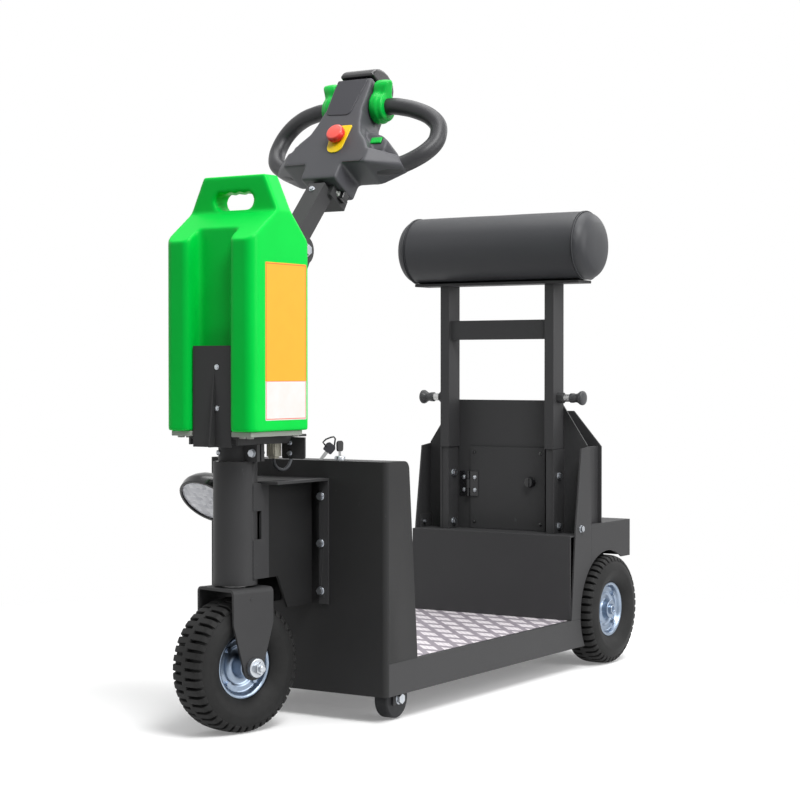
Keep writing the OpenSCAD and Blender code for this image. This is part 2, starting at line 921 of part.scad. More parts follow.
// Shell of the head: its face, set-back shoulders for the loop, and a neck for the cap
// Foot that carries the end of the loop: its front view cut by its plan view
module loop_foot() {
    end = loop_knots[loop_last];
    back = head_back_y - head_step;
    intersection() {
        cross_plate(head_face_y - overrun, back - head_face_y + 2 * overrun, [
            [foot_in, foot_low], [foot_at, foot_low], [end.x, end.z - loop_r], [end.x, end.z + loop_r],
            [foot_at, foot_high], [foot_in, foot_high]
        ]);
        linear_extrude(head_l) polygon([
            [foot_in - overrun, head_face_y], [foot_at, head_face_y], [end.x + overrun, end.y - loop_r],
            [end.x + overrun, back], [foot_in - overrun, back]
        ]);
    }
}

module tiller_head() {
    face = concat(
        [for (share = face_shares) head_point(share)],
        [[face_shares[0].x * loop_half_w, head_top]]
    );
    shoulder = [for (share = shoulder_shares) head_point(share)];
    color("#39393b") on_head() difference() {
        union() {
            cross_plate(head_face_y, head_back_y - head_step - head_face_y, concat(face, mirrored(face)));
            cross_plate(0, head_back_y, concat(shoulder, mirrored(shoulder)));
            block(-neck_half_w, neck_half_w, neck_front, neck_back, head_top - overrun, neck_top);
            both_sides() loop_foot();
        }
        facing_front(stop_x, head_face_y, stop_h) rod(stop_neck_r + move_gap, 4 * stop_cap_l);
        both_sides() block(thumb_x - thumb_w / 2 - move_gap, thumb_x + thumb_w / 2 + move_gap,
            -overrun, thumb_t + thumb_travel + move_gap, thumb_h - thumb_l / 2 - move_gap,
            thumb_h + thumb_l / 2 + move_gap);
    }
}

// Domed cap over the neck of the head, with room inside for its travel
module belly_button() {
    dome = [for (share = cap_shares) head_l * share];
    color("#202022") on_head() difference() {
        side_plate(-cap_half_w, 2 * cap_half_w, dome);
        block(-neck_half_w - move_gap, neck_half_w + move_gap, neck_front - move_gap, neck_back + move_gap,
            cap_low - overrun, neck_top + belly_travel + move_gap);
    }
}

// Two lobed rings that turn together round the upper ends of the loop
module throttle_wings() {
    x0 = loop_knots[0].x + move_gap;
    y = loop_knots[0].y;
    z = loop_knots[0].z;
    lobe = 90 + wing_lean_angle;
    meet = asin(wing_lobe_r / wing_r);
    points = concat(
        arc([0, 0], wing_r, lobe + meet, 360 + lobe - meet, 2 * wing_steps),
        arc(wing_lobe_reach * around(lobe), wing_lobe_r, lobe - 90, lobe + 90, wing_steps)
    );
    color("#12b83b") on_head() both_sides() difference() {
        translate([0, y, z]) side_plate(x0, wing_l, points);
        along_x(x0 + wing_l / 2, y, z) rod(loop_r + move_gap, wing_l + 2 * overrun);
    }
}

module stop_plate() {
    half = [[stop_plate_low_w, stop_plate_low], [stop_plate_half_w, stop_plate_top]];
    color("#e3c51b") on_head() translate([stop_x, 0, 0]) difference() {
        cross_plate(head_face_y - stop_plate_t, stop_plate_t, concat(half, mirrored(half)));
        facing_front(0, head_face_y, stop_h) rod(stop_neck_r + move_gap, 4 * stop_plate_t);
    }
}

// Mushroom button: its neck runs in the head, its cap stands off by its travel
module stop_button() {
    cap_foot = stop_plate_t + stop_travel + move_gap;
    color("#d5251f") on_head() facing_front(stop_x, head_face_y, stop_h) {
        translate([0, 0, cap_foot]) cylinder(r = stop_r, h = stop_cap_l);
        translate([0, 0, -stop_cap_l]) cylinder(r = stop_neck_r, h = stop_cap_l + cap_foot + stop_cap_l / 2);
    }
}

module thumb_button(side) {
    color("#12b83b") on_head()
        block(side * thumb_x - thumb_w / 2, side * thumb_x + thumb_w / 2, -thumb_travel, thumb_t - overrun,
            thumb_h - thumb_l / 2, thumb_h + thumb_l / 2);
}

module thumb_button_left() {
    thumb_button(1);
}

module thumb_button_right() {
    thumb_button(-1);
}

// Wheel disc with its half shaft and the nut on its end
module rear_hub(side) {
    x = track_w / 2;
    end = x + rear_hub_half;
    color("#c3cdd6") place() mirror([side < 0 ? 1 : 0, 0, 0]) {
        along_x(x, wheelbase, wheel_r) rim(rear_hub_half, shaft_d / 2 + run_gap);
        along_x((shaft_start + end + hub_nut_l) / 2, wheelbase, wheel_r)
            rod(shaft_d / 2, end + hub_nut_l - shaft_start);
        along_x(end + hub_nut_l / 2, wheelbase, wheel_r)
            cylinder(r = hub_nut_r, h = hub_nut_l, center = true, $fn = 6);
    }
}

module rear_hub_left() {
    rear_hub(1);
}

module rear_hub_right() {
    rear_hub(-1);
}

module rear_tyre_left() {
    place() along_x(track_w / 2, wheelbase, wheel_r) tyre(rear_tyre_w);
}

module rear_tyre_right() {
    place() along_x(-track_w / 2, wheelbase, wheel_r) tyre(rear_tyre_w);
}

module support_roller(side) {
    color("#5c5d60") place() along_x(side * roller_x, roller_y, roller_z)
        ring(roller_r, roller_axle_r + run_gap, roller_w);
}

module support_roller_left() {
    support_roller(1);
}

module support_roller_right() {
    support_roller(-1);
}

module steering_column() {
    top = column_top;
    web = [
        [0, web_step], [web_foot_y, web_step], [web_toe_y, web_low], [panel_y - flange_t / 2, web_low],
        [panel_y - flange_t / 2, web_high - web_t / 2], [0, web_high - web_t / 2], [0, notch_high],
        [notch_y, notch_high], [notch_y, notch_low], [0, notch_low]
    ];
    color("#3a3a3c") place() difference() {
        union() {
            translate([0, 0, column_foot]) cylinder(r = column_r, h = top - column_foot);
            both_sides() {
                side_plate(web_x, web_t, web);
                block(web_x, flange_out, panel_y - flange_t, panel_y, web_low, web_high);
            }
            block(-flange_out, flange_out, stem_r, panel_y - flange_t / 2, web_high - web_t, web_high);
        }
        translate([0, 0, column_foot - overrun])
            cylinder(r = column_r - column_wall, h = top - column_foot + 2 * overrun);
        for (side = [-1, 1], z = web_bolt_zs) {
            facing_front(side * web_bolt_x, panel_y, z) rod(bolt_d / 2 + seat_gap, 4 * flange_t);
        }
    }
}

module column_bearings() {
    r_out = column_r - column_wall - seat_gap / 2;
    color("#8f979d") place()
        for (z = [column_foot + column_bearing_h / 2, column_top - column_bearing_h / 2]) {
            translate([0, 0, z]) ring(r_out, stem_r + run_gap, column_bearing_h);
        }
}

// Front sheet with its two cheeks folded back round the corners
module front_panel() {
    depth = box_back_foot - panel_y;
    fold = concat(
        [[body_half_w, panel_y + depth]],
        arc([body_half_w - bend_r, panel_y + bend_r], bend_r, 0, -90, 6)
    );
    inside = concat(
        [[side_in, panel_y + depth]],
        arc([body_half_w - bend_r, panel_y + bend_r], bend_r - plate_t, 0, -90, 6)
    );
    profile = concat(
        [[panel_y - overrun, sill_z], [panel_y + bend_r, sill_z], [panel_y + bend_r, deck_z],
            [box_back_foot, deck_z]],
        arc([box_back_top - box_round, box_top - box_round], box_round, 10, 90, 5),
        [[panel_y - overrun, box_top]]
    );
    color("#2c2c2e") place() difference() {
        intersection() {
            translate([0, 0, sill_z]) linear_extrude(box_top - sill_z) polygon(concat(
                fold, mirrored(fold), [for (p = inside) [-p.x, p.y]],
                [for (i = [len(inside) - 1:-1:0]) inside[i]]
            ));
            side_plate(-body_half_w - overrun, body_w + 2 * overrun, profile);
        }
        for (side = [-1, 1], z = web_bolt_zs) {
            facing_front(side * web_bolt_x, panel_y, z) rod(bolt_d / 2 + seat_gap, 4 * plate_t);
        }
    }
}

// Top and sloping back of the front box, between the cheeks
module front_cover() {
    outer = concat(
        [[box_back_foot, deck_z + seat_gap]],
        arc([box_back_top - box_round, box_top - box_round], box_round, 10, 90, 5),
        [[panel_y + plate_t, box_top]]
    );
    inner = concat(
        [[panel_y + plate_t, box_top - cover_t]],
        arc([box_back_top - box_round, box_top - box_round], box_round - cover_t, 90, 10, 5),
        [[box_back_foot - cover_t, deck_z + seat_gap]]
    );
    color("#303032") place() difference() {
        side_plate(-side_in + seat_gap, 2 * (side_in - seat_gap), concat(outer, inner));
        translate([key_x, key_y, box_top]) rod(switch_r - cover_t + seat_gap, 4 * cover_t);
        both_sides() block(side_in - bend_r, body_half_w, panel_y, panel_y + bend_r, box_top - 2 * cover_t,
            box_top + overrun);
    }
}

module sills() {
    front = panel_y + bend_r + seat_gap;
    top = deck_z - seat_gap;
    web = [
        [body_half_w, sill_z], [body_half_w, top], [lip_in, top], [lip_in, top - plate_t],
        [side_in, top - plate_t], [side_in, sill_z + plate_t], [lip_in, sill_z + plate_t], [lip_in, sill_z]
    ];
    color("#2c2c2e") place() both_sides() difference() {
        cross_plate(front, upright_back_y - front, web);
        wheel_arch();
    }
}

// Two rails and cross members that carry the deck, with the cheeks of the two rollers
module chassis_frame() {
    front = panel_y + plate_t;
    back = rear_y - plate_t;
    low = rail_z + rail_h;
    cheek_z = roller_z - 2 * roller_axle_r;
    cross_ys = concat([roller_y], [for (share = cross_shares) deck_front + share * (riser_y - deck_front)]);
    color("#29292b") place() difference() {
        union() {
            both_sides() block(rail_x - rail_w / 2, rail_x + rail_w / 2, front, back, rail_z, low);
            for (y = cross_ys) {
                block(seat_gap - side_in, side_in - seat_gap, y - cross_w / 2, y + cross_w / 2,
                    low - rail_wall, deck_z - plate_t - 2 * seat_gap);
                block(seat_gap - lip_in, lip_in - seat_gap, y - cross_w / 2, y + cross_w / 2, low,
                    deck_z - tread_t);
            }
            both_sides() for (x = [
                roller_x - roller_w / 2 - roller_gap - roller_cheek_t, roller_x + roller_w / 2 + roller_gap
            ]) {
                block(x, x + roller_cheek_t, roller_y - cross_w / 2, roller_y + cross_w / 2, cheek_z, low);
            }
        }
        both_sides() {
            along_x(roller_x, roller_y, roller_z) rod(roller_axle_r + seat_gap, 2 * roller_w);
            block(rail_x - rail_w / 2 + rail_wall, rail_x + rail_w / 2 - rail_wall, front - overrun,
                back + overrun, rail_z + rail_wall, low - rail_wall);
        }
    }
}

module tread_plate() {
    half_w = lip_in - seat_gap;
    color("#8d8f92") place()
        block(-half_w, half_w, deck_front, riser_y - seat_gap, deck_z - tread_t, deck_z);
}

module riser_panel() {
    color("#353537") place() {
        block(-side_in + seat_gap, side_in - seat_gap, riser_y, riser_y + plate_t, deck_z, riser_top);
        block(-side_in + seat_gap, side_in - seat_gap, riser_y + plate_t, carrier_y - seat_gap,
            riser_top - plate_t, riser_top);
    }
}

module rear_uprights() {
    outline = [
        [0, deck_z], upright_mid, upright_top, upright_rear, [upright_depth, upright_mid.y],
        [upright_depth, deck_z]
    ];
    color("#343436") place() both_sides() difference() {
        translate([0, riser_y, 0]) side_plate(side_in, plate_t, outline);
        along_x(side_in, upright_bolt_y, upright_bolt_z) rod(bolt_d / 2 + seat_gap, 4 * plate_t);
        wheel_arch();
    }
}

// Round space over a rear wheel, through the body side on the left
module wheel_arch() {
    along_x(body_half_w, wheelbase, wheel_r) rod(arch_r, 2 * sill_lip + 2 * overrun);
}

// Hood over the rear wheels: sides with wheel arches, a top, and a wall down to the rails
module rear_hood() {
    side = [
        [hood_y, deck_z], [hood_y, hood_top], [rear_y, hood_top], [rear_y, hood_side_z],
        [wheelbase, hood_side_z]
    ];
    color("#2c2c2e") place() difference() {
        union() {
            both_sides() difference() {
                side_plate(side_in, plate_t, side);
                wheel_arch();
            }
            block(-side_in - plate_t / 2, side_in + plate_t / 2, hood_y, rear_y - plate_t / 2,
                hood_top - plate_t, hood_top);
            block(-side_in - plate_t / 2, side_in + plate_t / 2, rear_y - plate_t, rear_y, hood_side_z,
                hood_top);
            block(-wall_half_w, wall_half_w, rear_y - plate_t, rear_y, rail_z, hood_side_z + plate_t);
        }
        for (sx = [-1, 1], sz = [-1, 1]) {
            facing_front(sx * tow_bolt_x, rear_y, tow_z + sz * tow_bolt_dz)
                rod(bolt_d / 2 + seat_gap, 4 * plate_t);
        }
    }
}

// Angle with an upright bore for a coupling pin
module tow_plate() {
    color("#343436") place() difference() {
        union() {
            block(-tow_w / 2, tow_w / 2, rear_y, rear_y + tow_reach, tow_z - tow_t / 2, tow_z + tow_t / 2);
            block(-tow_w / 2, tow_w / 2, rear_y, rear_y + tow_t / 2, tow_z - 2 * tow_bolt_dz,
                tow_z + 2 * tow_bolt_dz);
        }
        translate([0, rear_y + tow_reach - tow_hole_y, tow_z]) rod(tow_hole_r, 2 * tow_t);
        for (sx = [-1, 1], sz = [-1, 1]) {
            facing_front(sx * tow_bolt_x, rear_y, tow_z + sz * tow_bolt_dz)
                rod(bolt_d / 2 + seat_gap, 4 * tow_t);
        }
    }
}

// Plate outline with sloping upper corners, in x and z
function shouldered(half_w, low, side_z, top_half_w, top) =
    let (half = [[half_w, low], [half_w, side_z], [top_half_w, top]])
    concat(half, mirrored(half));

module carrier_panel() {
    color("#38383a") place() difference() {
        union() {
            cross_plate(carrier_y, plate_t, shouldered(carrier_half_w, riser_top + seat_gap,
                carrier_side_z, carrier_top_half_w, carrier_top));
            both_sides() {
                block(carrier_half_w - plate_t, carrier_half_w, upright_bolt_y - 2 * bolt_d,
                    carrier_y + plate_t / 2, riser_top + seat_gap, riser_top + 4 * bolt_d);
                block(post_x + bar_w / 2, post_x + bar_w / 2 + clip_t, carrier_y - clip_w,
                    carrier_y + plate_t / 2, bar_foot, post_foot - 2 * move_gap);
            }
        }
        block(-door_opening_half_w, door_opening_half_w, carrier_y - overrun, carrier_y + plate_t + overrun,
            door_opening_low, door_opening_high);
        both_sides() {
            for (z = bar_bolt_zs) {
                along_x(post_x, post_y, z) rod(bolt_d / 2 + seat_gap, 4 * bar_w);
            }
            along_x(carrier_half_w, upright_bolt_y, upright_bolt_z) rod(bolt_d / 2 + seat_gap, 4 * plate_t);
        }
    }
}

// Plate behind the carrier, with the two spacers that tie it to the carrier panel
module guard_panel() {
    color("#343436") place() {
        cross_plate(guard_y, plate_t,
            shouldered(side_in, hood_top, guard_side_z, guard_top_half_w, guard_top));
        both_sides()
            block(link_x, link_x + link_w, carrier_y + plate_t, guard_y + plate_t / 2, hood_top,
                guard_side_z);
    }
}

// Flat bars that the posts slide on, with the holes of the height settings
module guide_bars() {
    color("#2f2f31") place() both_sides() difference() {
        block(post_x - bar_w / 2, post_x + bar_w / 2, post_y - bar_depth / 2, post_y + bar_depth / 2,
            bar_foot, bar_top);
        for (i = [0:2 * holes_per_setting]) {
            along_x(post_x, post_y, plunger_z + i * setting_pitch / holes_per_setting)
                rod(plunger_r + move_gap, 2 * bar_w);
        }
        for (z = bar_bolt_zs) {
            along_x(post_x, post_y, z) rod(bolt_d / 2 + seat_gap, 2 * bar_w);
        }
    }
}

// Two square tubes with their crossbar
module backrest_frame() {
    in_x = post_w / 2 - post_wall;
    in_y = post_depth / 2 - post_wall;
    color("#38383a") place() {
        both_sides() difference() {
            block(post_x - post_w / 2, post_x + post_w / 2, post_y - post_depth / 2,
                post_y + post_depth / 2, post_foot, board_z);
            block(post_x - in_x, post_x + in_x, post_y - in_y, post_y + in_y, post_foot - overrun,
                board_z - post_wall);
            along_x(post_x + post_w / 2, post_y, plunger_z) rod(plunger_r + run_gap, post_w / 2);
        }
        block(post_w / 2 - post_x, post_x - post_w / 2, post_y - crossbar_depth / 2,
            post_y + crossbar_depth / 2, crossbar_low, crossbar_low + crossbar_h);
    }
}

module backrest_board() {
    color("#2f2f31") place() block(-board_half_l, board_half_l, post_y - board_w / 2,
        post_y + board_w / 2, board_z, board_z + board_t);
}

// Round cushion: a crowned roll with domed ends, drawn in at its seams and flat on the board
module backrest_cushion() {
    r = cushion_d / 2;
    half = [
        [0, cushion_l / 2], [r * 0.35, cushion_l / 2 - r * 0.02], [r * 0.68, cushion_l / 2 - r * 0.08],
        [r * 0.87, cushion_l / 2 - r * 0.17], [r * 0.94, cushion_l / 2 - r * 0.27],
        [r * 0.955, cushion_l / 2 - r * 0.33], [r * 0.985, cushion_l / 2 - r * 0.42],
        [r, cushion_l / 2 - r * 0.8]
    ];
    color("#303032") place() difference() {
        along_x(0, post_y, cushion_z) rotate_extrude() polygon(concat(half, flipped(half)));
        block(-cushion_l, cushion_l, post_y - r, post_y + r, board_z - r, board_z + board_t + seat_gap);
    }
}

module plunger_bushes() {
    color("#3c3c3e") place() both_sides()
        along_x(post_x + post_w / 2 + plunger_bush_l / 2, post_y, plunger_z) difference() {
            cylinder(r = plunger_bush_r, h = plunger_bush_l, center = true, $fn = 6);
            rod(plunger_r + run_gap, plunger_bush_l + 2 * overrun);
        }
}

// Sprung pin with its pull knob
module plunger(side) {
    start = post_x + bar_w / 2 - plunger_bite;
    bush_end = post_x + post_w / 2 + plunger_bush_l;
    knob = start + plunger_l;
    color("#4a4b4e") place() mirror([side < 0 ? 1 : 0, 0, 0]) {
        along_x((start + knob) / 2, post_y, plunger_z) rod(plunger_r, knob - start);
        along_x((bush_end + seat_gap + knob) / 2, post_y, plunger_z)
            rod(plunger_neck_r, knob - bush_end - seat_gap);
        along_x(knob + plunger_knob_l / 2, post_y, plunger_z) rod(plunger_knob_r, plunger_knob_l);
    }
}

module plunger_left() {
    plunger(1);
}

module plunger_right() {
    plunger(-1);
}

// Door with its half of the hinge
module carrier_door() {
    face = carrier_y - door_gap - plate_t;
    mid = (hinge_low + hinge_high) / 2;
    third = (hinge_high - hinge_low) / 3;
    color("#3a3a3c") place() difference() {
        union() {
            block(hinge_x + hinge_r + move_gap, door_half_w, face, face + plate_t, door_low, door_high);
            block(hinge_x + hinge_r + move_gap, hinge_x + hinge_leaf_w, face - hinge_leaf_t, face, hinge_low,
                hinge_high);
            block(hinge_x, hinge_x + hinge_r + 2 * move_gap, face - hinge_leaf_t, face, mid - third / 2,
                mid + third / 2);
            translate([hinge_x, face - hinge_r, mid]) rod(hinge_r, third);
        }
        translate([hinge_x, face - hinge_r, mid]) rod(hinge_pin_r + run_gap, third + 2 * overrun);
        facing_front(latch_x, face, latch_z) rod(latch_shaft_r + run_gap, 4 * plate_t);
    }
}

// Fixed half of the door's hinge, with its pin
module door_hinge() {
    face = carrier_y - door_gap - plate_t;
    mid = (hinge_low + hinge_high) / 2;
    third = (hinge_high - hinge_low) / 3;
    for (side = [-1, 1]) {
        translate([hinge_x, face - hinge_r, mid + side * (third + seat_gap)]) rod(hinge_r, third - seat_gap);
        block(hinge_x - hinge_r, hinge_x, face - hinge_r, carrier_y,
            mid + side * (third + seat_gap) - (third - seat_gap) / 2,
            mid + side * (third + seat_gap) + (third - seat_gap) / 2);
    }
    block(hinge_x - hinge_leaf_w, hinge_x - hinge_r - move_gap, carrier_y - hinge_leaf_t, carrier_y,
        hinge_low, hinge_high);
    translate([hinge_x, face - hinge_r, mid]) rod(hinge_pin_r, 3 * third);
}

// Round latch with a short tongue behind the door
module door_latch() {
    face = carrier_y - door_gap - plate_t;
    color("#1b1b1d") place() facing_front(latch_x, face, latch_z) {
        translate([0, 0, seat_gap]) cylinder(r = latch_knob_r, h = latch_knob_r);
        translate([0, 0, -plate_t - 2 * hinge_leaf_t])
            cylinder(r = latch_shaft_r, h = plate_t + latch_knob_r);
        translate([0, -latch_shaft_r, -plate_t - seat_gap - hinge_leaf_t])
            cube([latch_cam_l, 2 * latch_shaft_r, hinge_leaf_t]);
    }
}

// Casing of the gears and the two axle tubes, with feet on the rails
module drive_axle() {
    color("#56585b") place() difference() {
        union() {
            along_x(0, wheelbase, wheel_r) {
                rod(gearbox_r, 2 * gearbox_half_w);
                rod(axle_tube_r, 2 * wall_half_w);
            }
            both_sides() block(rail_x - rail_w / 2 + rail_wall, rail_x + rail_w / 2 - rail_wall,
                wheelbase - axle_tube_r, wheelbase + axle_tube_r, rail_z + rail_h, wheel_r);
            block(gearbox_half_w - rail_w, gearbox_half_w, motor_y - motor_r, wheelbase, wheel_r,
                motor_z + motor_r);
        }
        both_sides() along_x(wall_half_w, wheelbase, wheel_r)
            rod(shaft_d / 2 + run_gap, 2 * (wall_half_w - shaft_start + 2 * overrun));
    }
}

module drive_motor() {
    end = gearbox_half_w - rail_w;
    color("#25272a") place() {
        along_x(end - motor_half_l, motor_y, motor_z) rod(motor_r, 2 * motor_half_l);
        along_x(end - 2 * motor_half_l, motor_y, motor_z) rod(motor_r * 0.6, motor_r * 0.8);
    }
}

module controller() {
    color("#3f4245") place() {
        block(-controller_w / 2, controller_w / 2, panel_y + plate_t, panel_y + plate_t + controller_t,
            controller_z, controller_z + controller_h);
        for (i = [-2:2]) {
            block(i * controller_w / 5 - plate_t / 2, i * controller_w / 5 + plate_t / 2,
                panel_y + plate_t + controller_t, panel_y + plate_t + 1.5 * controller_t, controller_z,
                controller_z + controller_h);
        }
    }
}

// Bowl of the headlamp with its lens and the foot on the front panel
module headlamp() {
    rim_in = lamp_r - lamp_rim;
    bowl = [
        [rim_in, 0], [lamp_r, 0], [lamp_r, lamp_l * 0.35], [lamp_r * 0.72, lamp_l * 0.85],
        [lamp_r * 0.4, lamp_l], [0, lamp_l], [0, lamp_l - lamp_rim], [lamp_r * 0.35, lamp_l - lamp_rim],
        [rim_in * 0.9, lamp_l * 0.35], [rim_in, lamp_l * 0.3]
    ];
    stub_end = lamp_l + lamp_stub_l;
    arm_y = lamp_y + stub_end * cos(lamp_tilt_angle) - lamp_stub_r / 2;
    arm_z = lamp_z + stub_end * sin(lamp_tilt_angle);
    place() translate([lamp_x, lamp_y, lamp_z]) rotate([lamp_tilt_angle - 90, 0, 0]) {
        color("#1f1f21") rotate_extrude() polygon(bowl);
        color("#dfe4e8") translate([0, 0, lamp_rim]) cylinder(r = rim_in - seat_gap, h = lens_t);
        color("#1f1f21") translate([0, 0, lamp_l - lamp_rim / 2])
            cylinder(r = lamp_stub_r, h = lamp_stub_l + lamp_rim / 2);
    }
    color("#1f1f21") place() {
        facing_front(lamp_x, (arm_y + panel_y) / 2, arm_z) rod(lamp_stub_r, panel_y - arm_y);
        facing_front(lamp_x, panel_y - plate_t / 2, arm_z) rod(lamp_flange_r, plate_t);
    }
}

// Key with its bow, standing in the switch
module ignition_key() {
    color("#3a3a3c") place() translate([key_x, key_y, box_top + switch_h])
        block(-key_t / 2, key_t / 2, -key_bow_w / 2, key_bow_w / 2, key_blade_h, key_blade_h + key_bow_h);
    color("#c9ccd0") place() translate([key_x, key_y, box_top])
        block(-key_t / 2, key_t / 2, -key_bow_w / 6, key_bow_w / 6, seat_gap, switch_h + key_blade_h);
}

// Bolts, nuts, the axles of the support rollers, the key switch and the hinge of the door
module body_bolts() {
    place() {
        for (side = [-1, 1], z = web_bolt_zs) {
            facing_front(side * web_bolt_x, panel_y - flange_t, z) bolt(bolt_d, flange_t + 2 * plate_t);
        }
        for (sx = [-1, 1], sz = [-1, 1]) {
            mirror([0, 1, 0]) facing_front(sx * tow_bolt_x, -rear_y - tow_t / 2, tow_z + sz * tow_bolt_dz)
                bolt(bolt_d, tow_t / 2 + 2 * plate_t);
        }
        both_sides() {
            along_x(body_half_w, upright_bolt_y, upright_bolt_z) bolt(bolt_d, 3 * plate_t);
            for (z = bar_bolt_zs) {
                along_x(post_x + bar_w / 2 + clip_t, post_y, z) bolt(bolt_d, bar_w + clip_t + bolt_d);
            }
            along_x(roller_x + roller_w / 2 + roller_gap + roller_cheek_t, roller_y, roller_z)
                bolt(2 * roller_axle_r, roller_w + 2 * roller_gap + 3 * roller_cheek_t);
        }
        color("#b9c0c6") translate([key_x, key_y, box_top]) difference() {
            cylinder(r = switch_r, h = switch_h);
            translate([0, 0, -overrun]) cylinder(r = key_bow_w / 6 + move_gap, h = switch_h + 2 * overrun);
        }
        color("#a9b0b6") door_hinge();
    }
}

fork();
steering_stem();
clamp_collar();
battery_shelf();
battery_bracket();
tiller_mast();
tiller_pivot_bolt();
battery_connector();
front_axle();
steering_bolts();
front_tyre();
front_rim();
front_bearings();
battery_case();
battery_base();
battery_cells();
battery_labels();
tiller_pole();
tiller_head();
handle_loop();
stop_plate();
throttle_wings();
belly_button();
stop_button();
thumb_button_left();
thumb_button_right();
ignition_key();
rear_tyre_left();
rear_tyre_right();
rear_hub_left();
rear_hub_right();
support_roller_left();
support_roller_right();
backrest_frame();
backrest_board();
backrest_cushion();
plunger_bushes();
plunger_left();
plunger_right();
carrier_door();
door_latch();
steering_column();
column_bearings();
front_panel();
front_cover();
sills();
chassis_frame();
tread_plate();
riser_panel();
rear_uprights();
rear_hood();
tow_plate();
carrier_panel();
guard_panel();
guide_bars();
drive_axle();
drive_motor();
controller();
headlamp();
body_bolts();
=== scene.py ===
"""Looks of a stand-on electric tug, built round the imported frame. Sizes are in millimetres on the
vehicle: Z up from the ground, Y back from the steering axis, X to the vehicle's left."""

import json
import math

import bmesh
import bpy
from mathutils import Matrix, Vector


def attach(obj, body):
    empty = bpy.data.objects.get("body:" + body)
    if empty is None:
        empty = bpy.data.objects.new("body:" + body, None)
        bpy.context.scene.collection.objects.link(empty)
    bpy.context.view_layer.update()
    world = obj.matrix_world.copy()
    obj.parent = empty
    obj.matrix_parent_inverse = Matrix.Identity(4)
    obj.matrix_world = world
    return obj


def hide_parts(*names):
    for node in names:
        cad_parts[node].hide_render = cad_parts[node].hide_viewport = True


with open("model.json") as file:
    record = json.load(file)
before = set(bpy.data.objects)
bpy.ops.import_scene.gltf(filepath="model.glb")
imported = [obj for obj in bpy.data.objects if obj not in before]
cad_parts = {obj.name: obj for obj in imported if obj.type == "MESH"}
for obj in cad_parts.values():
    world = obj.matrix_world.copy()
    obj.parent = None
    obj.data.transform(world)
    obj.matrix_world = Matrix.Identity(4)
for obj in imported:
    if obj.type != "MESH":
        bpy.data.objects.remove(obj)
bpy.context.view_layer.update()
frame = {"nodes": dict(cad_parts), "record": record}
NODES = frame["nodes"]


def turned(degrees, axis):
    return Matrix.Rotation(math.radians(degrees), 4, axis)


def linked(name, data):
    """An object of the scene with this data."""
    made = bpy.data.objects.new(name, data)
    bpy.context.scene.collection.objects.link(made)
    return made


def as_mesh(bm, name):
    mesh = bpy.data.meshes.new(name)
    bm.to_mesh(mesh)
    bm.free()
    return mesh


# Where the vehicle's millimetres lie in the frame's metres, and places that its pieces share
MM = 0.001
STEERING_AXIS = 604.892
WHEEL_RADIUS = 130
HEAD_BASE = (0, 304.49, 1092.14)
HEAD_LEAN = math.radians(-32)
FORK_TURN = turned(-13, "Z")
VEHICLE = Matrix.Translation((0, -STEERING_AXIS * MM, 0)) @ Matrix.Scale(MM, 4)
FRONT_WHEEL = VEHICLE @ FORK_TURN @ Matrix.Translation((0, 0, WHEEL_RADIUS))
HEAD = VEHICLE @ Matrix.Translation(HEAD_BASE) @ Matrix.Rotation(HEAD_LEAN, 4, "X")

# Turns of an outline: local y up with local z forwards, and local z to the left with local x back
STANDING = turned(90, "X")
SIDEWAYS = Matrix(((0, 0, 1, 0), (1, 0, 0, 0), (0, 1, 0, 0), (0, 0, 0, 1)))
SIDES = (("left", 1), ("right", -1))

# Middle of the loop's grip in y and z of the head, then places in the vehicle's millimetres
GRIP = (17.1, 207.9)
TILLER_PIVOT = Vector((0, 172, 945))
SWITCH = (82, 240)
DOOR_FACE = 1066.5
POSTS_Y = 1043.5
PLUNGERS_Z = 638.5
CUSHION_Z = 995


# Camera: the photograph's own view, from the front and the vehicle's left
def add_camera():
    data = bpy.data.cameras.new("camera")
    data.lens = 85.65
    data.sensor_width = 36
    data.clip_end = 40
    camera = linked("camera", data)
    camera.location = (2.2753, -3.547642, 0.7042)
    camera.rotation_euler = (math.radians(89.1), 0, math.radians(32.76))
    bpy.context.scene.camera = camera


# Numbers and finishes: shader maths is written as Python expressions
class Value:
    """A socket of a finish, which adds its Math nodes as it is worked with."""

    def __init__(self, finish, socket):
        self.finish = finish
        self.socket = socket

    def maths(self, operation, *terms):
        return self.finish.node("Math", {"operation": operation}, dict(enumerate(terms)))

    def __add__(self, other):
        return self.maths("ADD", self, other)

    __radd__ = __add__

    def __sub__(self, other):
        return self.maths("SUBTRACT", self, other)

    def __rsub__(self, other):
        return self.maths("SUBTRACT", other, self)

    def __mul__(self, other):
        return self.maths("MULTIPLY", self, other)

    __rmul__ = __mul__

    def __truediv__(self, other):
        return self.maths("DIVIDE", self, other)

    def __rtruediv__(self, other):
        return self.maths("DIVIDE", other, self)

    def __gt__(self, other):
        return self.maths("GREATER_THAN", self, other)

    def __lt__(self, other):
        return self.maths("LESS_THAN", self, other)

    def __abs__(self):
        return self.maths("ABSOLUTE", self)

    def peak(self, other):
        return self.maths("MAXIMUM", self, other)

    def least(self, other):
        return self.maths("MINIMUM", self, other)

    def wrapped(self):
        """Only what comes after the decimal point, for a pattern that repeats."""
        return self.maths("FRACT", self)


